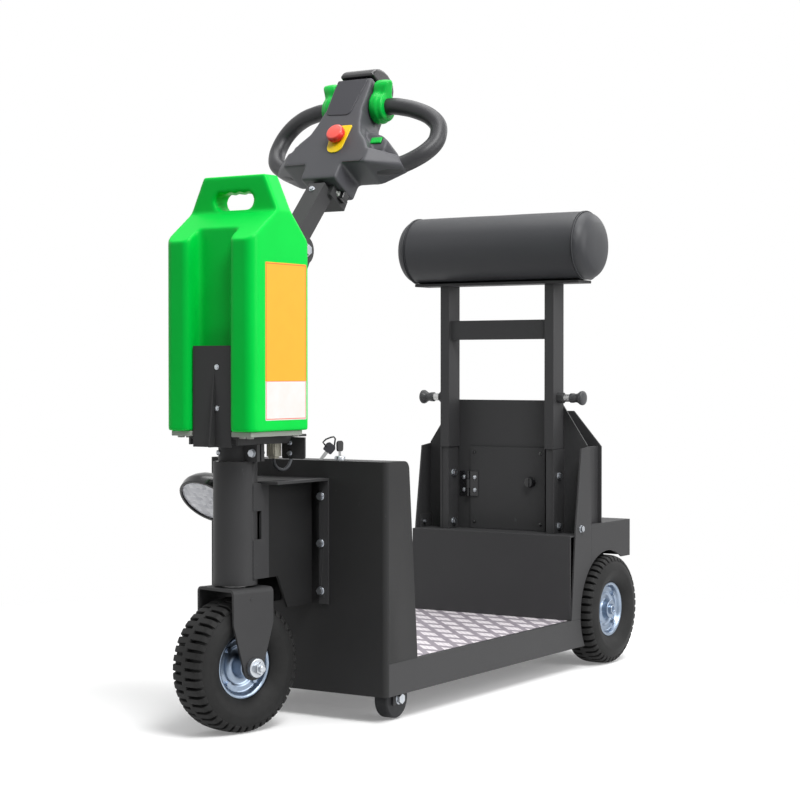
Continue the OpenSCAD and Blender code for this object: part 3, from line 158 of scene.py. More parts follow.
class Finish:
    """A material, with one method for every node."""

    def __init__(self, name):
        self.material = bpy.data.materials.new(name)
        self.material.use_nodes = True
        self.tree = self.material.node_tree
        self.tree.nodes.clear()

    def node(self, kind, settings=None, values=None, out=0):
        """One node: its settings first, then the values or links of its sockets."""
        node = self.tree.nodes.new("ShaderNode" + kind)
        for key, value in (settings or {}).items():
            setattr(node, key, value)
        for key, value in (values or {}).items():
            if isinstance(value, Value):
                self.tree.links.new(value.socket, node.inputs[key])
            elif isinstance(value, str):
                node.inputs[key].default_value = paint(value)
            else:
                node.inputs[key].default_value = value
        return Value(self, node.outputs[out]) if node.outputs else None

    def where(self):
        """Place on the object, in metres."""
        return self.node("TexCoord", out="Object")

    def along(self, axis, place=None):
        """One coordinate of a place: 0 for x, 1 for y, 2 for z."""
        return self.node("SeparateXYZ", {}, {0: place or self.where()}, out=axis)

    def rise(self, value, low, high, settings=None):
        """0 up to the low value, 1 from the high one."""
        return self.node("MapRange", settings, {"Value": value, "From Min": low, "From Max": high})

    def noise(self, scale, detail=3, rough=0.5, squeeze=(1, 1, 1)):
        place = self.node("Mapping", {}, {"Vector": self.where(), "Scale": squeeze})
        values = {"Vector": place, "Scale": scale, "Detail": detail, "Roughness": rough}
        return self.node("TexNoise", {}, values)

    def blend(self, share, low, high):
        """Colour between two others."""
        settings = {"data_type": "RGBA", "clamp_factor": True}
        return self.node("Mix", settings, {0: share, 6: low, 7: high}, out=2)

    def bump(self, height, distance, strength):
        return self.node("Bump", {}, {"Height": height, "Distance": distance, "Strength": strength})

    def surface(self, values):
        shader = self.node("BsdfPrincipled", {}, values)
        self.node("OutputMaterial", {}, {"Surface": shader})
        return self.material


def paint(code):
    """Colour from its written code, as the linear light that a shader takes."""
    parts = [int(code[i:i + 2], 16) / 255 for i in (1, 3, 5)]
    linear = [p / 12.92 if p <= 0.04045 else ((p + 0.055) / 1.055) ** 2.4 for p in parts]
    return (*linear, 1)


# Finishes
# The web behind the column, which lies in shade that is painted into its colour: half its width and its front
# in metres, its heights
WEB_HALF = 0.062
WEB_FRONT = (50 - STEERING_AXIS) * MM
WEB_HEIGHTS = (0.2, 0.496)


def powder_coat(name, dark, light, painted_web_shade=False):
    """Textured powder coat: fine orange peel, a slow change of tone, a few scuffs, and, where asked, painted
    shade on the web behind the column.
    """
    f = Finish(name)
    grains = f.noise(900, 2)
    clouds = f.noise(7, 4)
    scuffs = f.rise(f.noise(60, 6, 0.65, (1, 1, 0.35)), 0.68, 0.8)
    tone = clouds * 0.6 + grains * 0.4
    colour = f.blend(scuffs * 0.35, f.blend(tone, dark, light), "#6d6f72")
    if painted_web_shade:
        height = f.along(2)
        web = (abs(f.along(0)) < WEB_HALF) * (f.along(1) > WEB_FRONT)
        web = web * (height > WEB_HEIGHTS[0]) * (height < WEB_HEIGHTS[1])
        # painted shade: the web behind the column is darkened towards near black, for the shadow that falls
        # there
        colour = f.blend(web * 0.7, colour, "#080808")
    return f.surface({
        "Base Color": colour, "Roughness": 0.45 + clouds * 0.16 + scuffs * 0.1, "IOR": 1.3,
        "Normal": f.bump(grains, 0.00012, 0.5),
    })


def moulded(name, colour, deep, rough, grain_scale=700, grain=0.00006, ior=1.42):
    """Moulded plastic with a fine grain and a faint change of tone."""
    f = Finish(name)
    clouds = f.noise(9, 3)
    grains = f.noise(grain_scale, 2)
    wear = f.rise(f.noise(45, 5, 0.6), 0.62, 0.8)
    return f.surface({
        "Base Color": f.blend(clouds * 0.7, colour, deep),
        "Roughness": rough + grains * 0.06 + wear * 0.12, "IOR": ior,
        "Normal": f.bump(grains, grain, 0.5),
    })


def metal(name, light, dark, rough, brushed=(1, 1, 1)):
    """Plated or machined metal: mottled tone, fine lines and dull patches."""
    f = Finish(name)
    mottle = f.noise(55, 4, 0.6)
    lines = f.noise(420, 3, 0.6, brushed)
    patches = f.noise(14, 3)
    return f.surface({
        "Base Color": f.blend(mottle * 0.6 + patches * 0.4, dark, light), "Metallic": 1.0,
        "Roughness": rough + lines * 0.12 + patches * 0.1,
        "Normal": f.bump(lines, 0.00003, 0.4),
    })


def rubber(name, dark, light, rough):
    """Tyre rubber: matt and dusty, with mould grain."""
    f = Finish(name)
    dust = f.rise(f.noise(16, 5, 0.6), 0.4, 0.75)
    grains = f.noise(650, 3)
    return f.surface({
        "Base Color": f.blend(dust * 0.6, dark, light), "Roughness": rough + grains * 0.08,
        "IOR": 1.3, "Normal": f.bump(grains, 0.0001, 0.5),
    })


# Middle of the battery's panel, in y and z, and the border's inner and outer distances from it
PANEL_MIDDLE = (0.0215 - STEERING_AXIS * MM, 0.759)
BORDER_INSIDE = (0.063, 0.1475)
BORDER_OUTSIDE = (0.0648, 0.1494)
FIELD_SPLIT = 0.6828


def battery_panel(name):
    """Blank printed panel: an amber field over a pale one, in a thin orange border."""
    f = Finish(name)
    height = f.along(2)
    across = abs(f.along(1) - PANEL_MIDDLE[0])
    along = abs(height - PANEL_MIDDLE[1])
    inside, outside = [(across > w).peak(along > h) for w, h in (BORDER_INSIDE, BORDER_OUTSIDE)]
    line = inside - outside
    split = (height < FIELD_SPLIT + 0.0007) - (height < FIELD_SPLIT - 0.0006)
    field = f.blend(height < FIELD_SPLIT, "#f3a922", "#dfe2e3")
    clouds = f.noise(30, 3)
    worn = f.blend(clouds * 0.25, field, "#c98a1c")
    return f.surface({
        "Base Color": f.blend(line.peak(split * (across < BORDER_INSIDE[0])) * 0.85, worn, "#d8542a"),
        "Roughness": 0.3 + clouds * 0.15, "Normal": f.bump(f.noise(600, 2), 0.00002, 0.4),
    })


def lens_facets(name):
    """Pressed lens: small square facets of different tones."""
    f = Finish(name)
    facets = {"Vector": f.where(), "Scale": 120, "Randomness": 0.45}
    cells, tone = [f.node("TexVoronoi", {"distance": "CHEBYCHEV"}, facets, out) for out in (0, 1)]
    grey = f.node("RGBToBW", {}, {0: tone})
    return f.surface({
        "Base Color": f.blend(grey, "#b9bbc4", "#f0f1f6"), "Roughness": 0.1 + cells * 0.2,
        "Coat Weight": 0.4, "Normal": f.bump(cells, 0.0006, 0.7),
    })


# Tread plate: spacing of its rows and of its leaning groups, bars to a group's spacing, and their lean
ROW_PITCH = 0.0585
GROUP_PITCH = 0.0555
BARS_TO_GROUP = 4.41
BAR_PITCH = 0.0126
BAR_LEAN = 0.93


def tread_pattern(name):
    """Tread plate: groups of bars; the groups whose bars lean one way are painted pale as a painted glint,
    for the light they catch, and the others stay grey.
    """
    f = Finish(name)
    x = f.along(0)
    y = f.along(1)
    lean = (x + y * BAR_LEAN) / GROUP_PITCH
    groups = ((y / ROW_PITCH).wrapped() < 0.64) * (lean.wrapped() < 0.68)
    bars = abs((lean * BARS_TO_GROUP).wrapped() - 0.5) < 0.3
    others = abs(((x - y * BAR_LEAN) / BAR_PITCH).wrapped() - 0.5) < 0.2
    raised = (groups * bars).peak((1 - groups) * others)
    wear = f.noise(120, 4, 0.6)
    grey = f.blend(f.noise(18, 4) * 0.6 + others * 0.3, "#87808a", "#aaa3aa")
    return f.surface({
        # painted glint: the groups of bars that lean one way are painted near white
        "Base Color": f.blend(groups * (0.74 + bars * 0.26), grey, "#ece6ea"), "Metallic": 0.35,
        "Roughness": 0.45 + wear * 0.1, "Normal": f.bump(raised, 0.001, 0.6),
    })


def stop_knob(name):
    """Red mushroom with a painted highlight: its top is painted paler, and its rim stays the deeper red."""
    f = Finish(name)
    head = (0, (HEAD_BASE[1] - STEERING_AXIS) * MM, HEAD_BASE[2] * MM)
    place = f.node("Mapping", {"vector_type": "TEXTURE"}, {
        "Vector": f.where(), "Location": head, "Rotation": (HEAD_LEAN, 0, 0)})
    # painted highlight: the top of the dome is painted paler, for the light that falls on it
    top = f.rise(f.along(1, place), -0.0478, -0.0492)
    grains = f.noise(500, 2)
    return f.surface({
        "Base Color": f.blend(top * 0.8, "#dd2a22", "#ef5f55"), "Roughness": 0.26 + grains * 0.1,
        "Normal": f.bump(grains, 0.00004, 0.4),
    })


# Every finish: its maker, its name and its look
LOOKS = (
    (powder_coat, "frame_black", "#303031", "#3b3b3c"),
    (metal, "zinc", "#d3d6da", "#8f959d", 0.24),
    (metal, "rim_zinc", "#a8b4c3", "#6b7a8e", 0.22),
    (metal, "steel", "#c9c9c6", "#85868a", 0.3, (1, 1, 0.05)),
    (rubber, "tyre_rubber", "#191919", "#2b2b2b", 0.6),
    (rubber, "roller_rubber", "#1d1e20", "#343537", 0.5),
    (moulded, "battery_green", "#00d147", "#00bd3d", 0.32, 700, 0.00006, 1.2),
    (moulded, "green_plastic", "#04b942", "#02a037", 0.28, 700, 0.00006, 1.3),
    (moulded, "grey_plastic", "#c9cbc8", "#b3b5b1", 0.42),
    (moulded, "cell_wrap", "#3d6fb0", "#345f98", 0.35),
    (moulded, "label_amber", "#f2a51c", "#e39512", 0.3, 300, 0.00002),
    (moulded, "head_plastic", "#444448", "#3b3b40", 0.46, 900, 0.0002),
    (moulded, "loop_grip", "#2c2c2f", "#252527", 0.4, 800, 0.00008),
    (moulded, "button_black", "#1b1b1d", "#151517", 0.16, 500, 0.00002, 1.52),
    (moulded, "stop_red", "#e0251b", "#c61d15", 0.26),
    (moulded, "stop_yellow", "#ecc91c", "#d9b814", 0.3),
    (moulded, "cushion_skin", "#2f3033", "#28292c", 0.45, 420, 0.0003),
    (powder_coat, "motor_black", "#26272a", "#333438"),
    (tread_pattern, "tread_metal"),
    (battery_panel, "battery_panel"),
    (stop_knob, "stop_knob"),
    (moulded, "blank_plate", "#34343a", "#2c2c31", 0.3, 600, 0.00003),
    (moulded, "base_grey", "#a9aca6", "#8f928c", 0.45),
    (moulded, "blank_grey", "#a9aaa8", "#8f908e", 0.4),
    (moulded, "plug_cream", "#d9d6c6", "#c6c2b0", 0.4),
    (rubber, "lead_grey", "#4e5053", "#606266", 0.5),
    (lens_facets, "lens"),
    (moulded, "knob_black", "#3b3c3e", "#2f3032", 0.34),
    # the frame's powder coat with painted shade on the column's web
    (powder_coat, "web_painted_shade", "#303031", "#3b3b3c", True),
    # painted shade: a darker copy of the frame's powder coat for the front panel, which lies in shadow
    (powder_coat, "panel_painted_shade", "#1f1f1f", "#29292a"),
)
FINISH = {name: maker(name, *look) for maker, name, *look in LOOKS}
SLOT_FINISH = {"label": "label_amber"}


def dress_nodes():
    """Every CAD node takes the finish of its slot."""
    for entry in frame["record"]["subparts"]:
        slot_name = entry["material_slot"]
        materials = NODES[entry["node"]].data.materials
        materials.clear()
        materials.append(FINISH[SLOT_FINISH.get(slot_name, slot_name)])


# Studio: soft lamps, a white surround for camera and reflections, a floor that keeps the shadow
def seen_directly(f):
    """1 for rays from the camera, from gloss and through glass."""
    camera = f.node("LightPath", out="Is Camera Ray")
    glossy = f.node("LightPath", out="Is Glossy Ray")
    through = f.node("LightPath", out="Is Transmission Ray")
    return (camera + glossy + through).least(1.0)


def add_lamp(name, place, aim, size, power):
    data = bpy.data.lights.new(name, "AREA")
    data.shape = "RECTANGLE"
    data.size, data.size_y = size
    data.energy = power
    lamp = linked(name, data)
    lamp.location = place
    lamp.rotation_euler = (Vector(aim) - Vector(place)).to_track_quat("-Z", "Y").to_euler()


def add_studio():
    world = bpy.data.worlds.new("studio")
    world.use_nodes = True
    bpy.context.scene.world = world
    sky = Finish("sky")
    bpy.data.materials.remove(sky.material)
    sky.tree = world.node_tree
    sky.tree.nodes.clear()
    seen = seen_directly(sky)
    shade = sky.node("Background", {}, {"Color": "#ffffff", "Strength": 0.32 + 0.68 * seen})
    sky.node("OutputWorld", {}, {"Surface": shade})

    bm = bmesh.new()
    bmesh.ops.create_circle(bm, cap_ends=True, segments=64, radius=14)
    floor = linked("floor", as_mesh(bm, "floor"))
    f = Finish("floor_white")
    seen = seen_directly(f)
    matt = f.node("BsdfDiffuse", {}, {"Color": (0.8, 0.8, 0.8, 1)})
    glow = f.node("Emission", {}, {"Color": "#ffffff", "Strength": 0.2 * seen})
    near = f.node("AddShader", {}, {0: matt, 1: glow})
    white = f.node("Emission", {}, {"Color": "#ffffff", "Strength": seen})
    distance = f.node("VectorMath", {"operation": "LENGTH"}, {0: f.where()}, "Value")
    far = f.rise(distance, 1.1, 1.9, {"interpolation_type": "SMOOTHSTEP"})
    f.node("OutputMaterial", {}, {"Surface": f.node("MixShader", {}, {0: far, 1: near, 2: white})})
    floor.data.materials.append(f.material)

    add_lamp("key", (2.3, -1.6, 3.9), (0, -0.1, 0.5), (1.7, 1.7), 150)
    add_lamp("side", (3.7, 0.5, 1.9), (0, 0, 0.6), (2.2, 2.2), 68)
    add_lamp("fill", (-3, -2, 2.4), (0, -0.2, 0.7), (2.2, 2.2), 13)
    add_lamp("top", (0.1, 0.5, 3.9), (0, 0, 0.4), (3, 3), 100)
    add_lamp("rear", (1.2, 3.4, 2.6), (0, 0.3, 0.7), (1.8, 2), 30)
    bpy.context.scene.view_settings.view_transform = "Standard"


# Shaping, in millimetres
def towards(axis, centre):
    """Place that turns local z along an axis of the vehicle and puts it at a centre."""
    turn = Vector((0, 0, 1)).rotation_difference(Vector(axis)).to_matrix().to_4x4()
    return Matrix.Translation(centre) @ turn


def round_outline(points, radius, steps=6):
    """Outline in a plane whose corners are rounded by a radius, or by one radius for each corner."""
    bm = bmesh.new()
    corners_here = [bm.verts.new((*point, 0)) for point in points]
    bm.faces.new(corners_here)
    radii = radius if hasattr(radius, "__len__") else [radius] * len(points)
    for corner, size in zip(corners_here, radii):
        if size > 0:
            bmesh.ops.bevel(bm, geom=[corner], offset=size_along(corner, size), affect="VERTICES",
                            segments=steps, profile=0.5, material=-1)
    bm.faces.ensure_lookup_table()
    outline = [(v.co.x, v.co.y) for v in bm.faces[0].verts]
    bm.free()
    return outline


def size_along(corner, radius):
    """How far along its edges a corner's rounding starts."""
    sides = [(edge.other_vert(corner).co - corner.co).normalized() for edge in corner.link_edges]
    return radius / math.tan(sides[0].angle(sides[1]) / 2)


def spread(low, high, steps):
    """Evenly spaced numbers, with both ends."""
    return [low + (high - low) * i / steps for i in range(steps + 1)]


def arc(centre, radius, angles):
    """Points round a centre, at angles in degrees."""
    return [(centre[0] + radius * math.cos(math.radians(a)), centre[1] + radius * math.sin(math.radians(a)))
            for a in angles]


def mirrored(points):
    """An outline's right-hand side added to its left-hand one."""
    return points + [(-x, z) for x, z in reversed(points)]


def verts_of(geometry):
    return [part for part in geometry if isinstance(part, bmesh.types.BMVert)]


def once(parts):
    """Each part once, in their order, so that every run gives the same mesh."""
    return list(dict.fromkeys(parts))


def faces_of(verts):
    return once(face for v in verts for face in v.link_faces)


def edges_of(verts):
    return once(edge for v in verts for edge in v.link_edges)


class Shape:
    """A mesh in the making, in millimetres."""

    def __init__(self):
        self.bm = bmesh.new()

    def put(self, verts, place):
        """Moves vertices to their place."""
        bmesh.ops.transform(self.bm, matrix=place, verts=verts)
        return verts

    def box(self, low, high, edge=0.0, steps=2, place=Matrix()):
        """Block between two corners with its edges rounded."""
        low, high = Vector(low), Vector(high)
        made = bmesh.ops.create_cube(self.bm, size=1)["verts"]
        size = Matrix.Diagonal((*(high - low), 1))
        self.put(made, Matrix.Translation((low + high) / 2) @ size)
        return self.put(self.soften(made, edge, steps), place)

    def soften(self, verts, edge, steps=2, angle=20):
        """Rounds the sharp edges of what these vertices make."""
        if edge <= 0:
            return verts
        sharp = [e for e in edges_of(verts)
                 if len(e.link_faces) == 2 and e.calc_face_angle(0) > math.radians(angle)]
        before = set(self.bm.verts) - set(verts)
        self.round_edges(sharp, edge, steps)
        return self.new_since(before)

    def round_edges(self, edges, radius, steps):
        bmesh.ops.bevel(self.bm, geom=edges, offset=radius, affect="EDGES", segments=steps, profile=0.5,
                        material=-1, clamp_overlap=True)

    def new_since(self, before):
        return [v for v in self.bm.verts if v not in before]

    def slab(self, outline, low, high, edge=0.0, steps=2, place=Matrix()):
        """Plate with an outline in its own x and y, from low to high."""
        face = self.bm.faces.new([self.bm.verts.new((*point, low)) for point in outline])
        top = verts_of(bmesh.ops.extrude_face_region(self.bm, geom=[face])["geom"])
        bmesh.ops.translate(self.bm, verts=top, vec=(0, 0, high - low))
        made = once([*face.verts, *top])
        bmesh.ops.recalc_face_normals(self.bm, faces=faces_of(made))
        return self.put(self.soften(made, edge, steps), place)

    def hull(self, points):
        """Tight skin round points."""
        made = [self.bm.verts.new(point) for point in points]
        found = bmesh.ops.convex_hull(self.bm, input=made)
        spare = once(verts_of([*found["geom_interior"], *found["geom_unused"]]))
        bmesh.ops.delete(self.bm, geom=spare, context="VERTS")
        return [v for v in made if v.is_valid]

    def lathe(self, profile, place=Matrix(), steps=64):
        """Profile of radii and heights, spun round its own z."""
        verts = [self.bm.verts.new((radius, 0, height)) for radius, height in profile]
        edges = [self.bm.edges.new(pair) for pair in zip(verts, verts[1:])]
        before = set(self.bm.verts) - set(verts)
        bmesh.ops.spin(self.bm, geom=verts + edges, cent=(0, 0, 0), axis=(0, 0, 1), dvec=(0, 0, 0),
                       angle=2 * math.pi, steps=steps, use_merge=True, use_duplicate=False)
        bmesh.ops.remove_doubles(self.bm, verts=self.new_since(before), dist=0.001)
        made = self.new_since(before)
        bmesh.ops.recalc_face_normals(self.bm, faces=faces_of(made))
        return self.put(made, place)

    def tube(self, path, radius, sides=16, closed=False):
        """Round bar along points; the radius may be one number or one for each point."""
        path = [Vector(point) for point in path]
        last = len(path) - 1
        radii = radius if hasattr(radius, "__len__") else [radius] * len(path)
        rings, made = [], []
        turn, heading = Matrix(), Vector((0, 0, 1))
        for i, point in enumerate(path):
            ahead = path[(i + 1) % len(path)] - path[i - 1]
            if not closed:
                ahead = path[min(i + 1, last)] - path[max(i - 1, 0)]
            ahead.normalize()
            turn = heading.rotation_difference(ahead).to_matrix().to_4x4() @ turn
            heading = ahead
            ring = bmesh.ops.create_circle(self.bm, segments=sides, radius=radii[i])["verts"]
            self.put(ring, Matrix.Translation(point) @ turn)
            rings.append(edges_of(ring))
            made += ring
        for here, there in zip(rings, rings[1:] + rings[:1] if closed else rings[1:]):
            bmesh.ops.bridge_loops(self.bm, edges=here + there)
        if not closed:
            bmesh.ops.edgeloop_fill(self.bm, edges=rings[0])
            bmesh.ops.edgeloop_fill(self.bm, edges=rings[-1])
        bmesh.ops.recalc_face_normals(self.bm, faces=faces_of(made))
        return made

    def rod(self, start, end, radius, sides=24, edge=0.0):
        """Straight round bar between two points, with its end edges turned down."""
        start, end = Vector(start), Vector(end)
        made = bmesh.ops.create_cone(self.bm, cap_ends=True, segments=sides, radius1=radius,
                                     radius2=radius, depth=(end - start).length)["verts"]
        made = self.soften(made, edge, 2, 60)
        return self.put(made, towards(end - start, (start + end) / 2))

    def node(self, name, angle):
        """Merged copy of a CAD node, brought back to the vehicle's millimetres."""
        before = set(self.bm.verts)
        self.bm.from_mesh(NODES[name].data)
        made = self.put(self.new_since(before), VEHICLE.inverted())
        bmesh.ops.remove_doubles(self.bm, verts=made, dist=0.02)
        made = self.new_since(before)
        bmesh.ops.dissolve_limit(self.bm, angle_limit=math.radians(angle), verts=made, edges=edges_of(made))
        return self.new_since(before)

    def round_where(self, chosen, radius):
        """Rounds the edges for which chosen(end, end) is true."""
        self.round_edges([e for e in self.bm.edges if chosen(*(v.co for v in e.verts))], radius, 4)

    def join(self, grid, rounds):
        """Joins closed shapes that overlap into one skin and softens its creases."""
        helper = linked("joining", as_mesh(self.bm, "joining"))
        even = helper.modifiers.new("even", "REMESH")
        even.mode = "VOXEL"
        even.voxel_size = grid
        finished = helper.evaluated_get(bpy.context.evaluated_depsgraph_get())
        joined = bpy.data.meshes.new_from_object(finished)
        bpy.data.objects.remove(helper)
        self.bm = bmesh.new()
        self.bm.from_mesh(joined)
        for _ in range(rounds):
            bmesh.ops.smooth_vert(self.bm, verts=self.bm.verts, factor=0.5, use_axis_x=True,
                                  use_axis_y=True, use_axis_z=True)

    def hexagon(self, across, height, place):
        """Hexagon head with a turned-down top."""
        made = self.slab(arc((0, 0), across / math.sqrt(3), range(0, 360, 60)), 0, height)
        top = [e for e in edges_of(made) if all(abs(o.co.z - height) < 0.001 for o in e.verts)]
        before = set(self.bm.verts) - set(made)
        bmesh.ops.bevel(self.bm, geom=top, offset=across * 0.06, affect="EDGES", segments=2,
                        profile=0.5, material=-1)
        return self.put(self.new_since(before), place)

    def bolt(self, place, across=13, height=5.3, washer=8.6):
        """Hexagon head on a washer, standing up its own z from the face it holds."""
        thickness = 1.5
        self.washer(washer, 3, thickness, place)
        self.hexagon(across, height, place @ Matrix.Translation((0, 0, thickness)))

    def washer(self, outer, inner, height, place):
        """Flat ring with the edge of its upper face turned down."""
        edge = height * 0.25
        outside = [(outer, 0), (outer, height - edge), (outer - edge, height)]
        return self.lathe([(inner, 0)] + outside + [(inner, height), (inner, 0)], place, 32)

    def repeat(self, verts, count):
        """Copies of what these vertices make, turned round z."""
        faces = faces_of(verts)
        made = list(verts)
        for i in range(1, count):
            turned = verts_of(bmesh.ops.duplicate(self.bm, geom=list(verts) + faces)["geom"])
            turn = Matrix.Rotation(2 * math.pi * i / count, 3, Vector((0, 0, 1)))
            bmesh.ops.rotate(self.bm, verts=turned, cent=(0, 0, 0), matrix=turn)
            made += turned
        return made

    def piece(self, name, finish, body, slot, stands_for=(), place=VEHICLE, smooth=35):
        """Ends the making: a mesh in metres with its finish, its body and its nodes; the slot is not used."""
        bmesh.ops.transform(self.bm, matrix=place, verts=self.bm.verts)
        mesh = as_mesh(self.bm, name)
        mesh.shade_smooth()
        mesh.set_sharp_from_angle(angle=math.radians(smooth))
        mesh.materials.clear()
        mesh.materials.append(FINISH[finish])
        made = linked(name, mesh)
        if smooth < 60:
            flat = made.modifiers.new("flat", "WEIGHTED_NORMAL")
            flat.keep_sharp = True
            flat.weight = 60
        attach(made, body)
        if stands_for:
            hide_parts(*stands_for)
        return made


def softened(node, width, steps=2, angle=20, merging=0.5):
    """Copy of a CAD node with its sharp edges rounded."""
    shape = Shape()
    shape.soften(shape.node(node, merging), width, steps, angle)
    return shape


def eased(node, width, body, slot, steps):
    """A softened copy as a piece that stands for the node."""
    softened(node, width, steps, 25).piece(node + "_eased", slot, body, slot, (node,))


# Wheels, each round its own z axis, with z = 0 in the middle plane
def add_tyre(shape, half_w, place):
    """Carcass with ribs, a middle band, and two staggered rows of blocks over the shoulders."""
    bulge = 37.95
    side = arc((95.9, half_w - bulge), bulge, range(146, 50, -6))
    rib = [(r + 1.1, z + 0.9) if i == 9 else (r, z) for i, (r, z) in enumerate(side)]
    half = [(57.4, 23.8), (64.4, 24.2)] + rib + [(118.6, half_w - 9), (119.4, half_w - 18)]
    band = [(119.4, 7.6), (129.4, 5.4), (130, 3)]
    half = half + band
    profile = half + [(r, -z) for r, z in reversed(half)]
    shape.lathe(profile + [profile[0]], place, 132)
    block = [(116, 3), (130, 3), (129.8, 14), (128.8, half_w - 18), (126.6, half_w - 11), (122, half_w - 6.4),
             (117.4, half_w - 4.4), (114.6, half_w - 4.4), (113, half_w - 9), (113, half_w - 14)]
    for flip in (1, -1):
        made = shape.slab([(r, flip * z) for r, z in block], -6, 6, 0.8, 1, STANDING)
        shape.put(made, turned(2.05 * flip, "Z"))
        shape.put(shape.repeat(made, 44), place)


def add_rim(shape, hub_half, bore, place):
    """Two pressed halves with rolled lips, on a tube, held by four bolts."""
    half = [
        (bore, hub_half), (21, hub_half), (22, hub_half - 1), (22, 17), (23.5, 14.5), (27, 12.6), (33, 11.4),
        (36, 11.6), (38.5, 13), (40.5, 14.6), (43, 15), (50, 14.6), (52.4, 15.4), (54, 17.5), (55.4, 21),
        (56.6, 24.4), (58.6, 26.4), (61.4, 27), (63.6, 26.5), (64.3, 25.4), (64, 24.3), (57.2, 24)
    ]
    profile = half + [(r, -z) for r, z in reversed(half)]
    shape.lathe(profile + [profile[0]], place, 96)
    for flip in (1, -1):
        for turn in (45, 135, 225, 315):
            spot = turned(turn, "Z") @ Matrix.Translation((46.4, 0, 14.6))
            away = place @ Matrix.Diagonal((1, 1, flip, 1)) @ spot
            shape.washer(6, 1, 1.2, away)
            shape.hexagon(9.5, 5, away @ Matrix.Translation((0, 0, 1.2)))
    bmesh.ops.recalc_face_normals(shape.bm, faces=shape.bm.faces)


def add_front_wheel():
    across = towards((1, 0, 0), (0, 0, 0))
    tyre = Shape()
    add_tyre(tyre, 46, across)
    tyre.piece("front_tyre_moulded", "tyre_rubber", "front_wheel", "tyre_rubber",
               ("front_tyre",), FRONT_WHEEL)
    rim = Shape()
    add_rim(rim, 44, 17.6, across)
    rim.piece("front_rim_pressed", "rim_zinc", "front_wheel", "zinc", ("front_rim",), FRONT_WHEEL)


def add_rear_wheels():
    for name, side in SIDES:
        across = towards((side, 0, 0), (side * 201, 1173, 130))
        tyre = Shape()
        add_tyre(tyre, 42, across)
        tyre.piece("rear_tyre_moulded_" + name, "tyre_rubber", "wheel_" + name, "tyre_rubber",
                   ("rear_tyre_" + name,))
        rim = Shape()
        add_rim(rim, 30, 12.5, across)
        rim.lathe([(0, 31), (5.6, 31), (6, 33.5), (6.8, 35.4), (9, 36), (11.6, 35.6), (12.4, 34), (12.4, 26)],
                  across, 32)
        rim.piece("rear_rim_pressed_" + name, "rim_zinc", "wheel_" + name, "zinc", ("rear_hub_" + name,))


# Battery, its bracket and what carries both
def add_battery():
    case = Shape()
    shell = case.node("battery_case", 0.5)
    inner = [v for v in shell if abs(v.co.x) < 97 and -46 < v.co.y < 89 and 590 < v.co.z < 949]
    inner = [v for v in inner if all(other in inner for e in v.link_edges for other in e.verts)]
    bmesh.ops.delete(case.bm, geom=inner, context="VERTS")

    def upright(a, b):
        return abs(a.x - b.x) < 0.5 and abs(a.y - b.y) < 0.5

    case.round_where(lambda a, b: upright(a, b) and abs(abs(a.x) - 49) < 1 and a.y < -84, 13)
    case.round_where(lambda a, b: upright(a, b) and abs(abs(a.x) - 49) < 1 and -51 < a.y < -49, 9)
    for x in (-24, -1, 22):
        case.rod((x, -4, 1053), (x, 39, 1053), 6.4, 20, 2)
    case.join(2.6, 8)
    case.piece("battery_case_moulded", "battery_green", "battery", "battery_green",
               ("battery_case",), smooth=60)

    panel = Shape()
    outline = round_outline([(-45, 608), (88, 608), (88, 910), (-45, 910)], 2.5, 3)
    panel.slab(outline, 106.6, 107.45, 0.12, 1, SIDEWAYS)
    panel.piece("battery_panel", "battery_panel", "battery", "label", ("battery_labels",))

    base = softened("battery_base", 1.2)
    for x, y in ((-84, -62), (84, -62), (84, 84), (-84, 84)):
        base.rod((x, y, 573.5), (x, y, 578), 7, 20, 1)
    for x in (-62, 62):
        base.box((x - 9, -64.5, 573.5), (x + 9, -57, 580), 1)
    base.piece("battery_base_moulded", "base_grey", "battery", "grey_plastic", ("battery_base",))


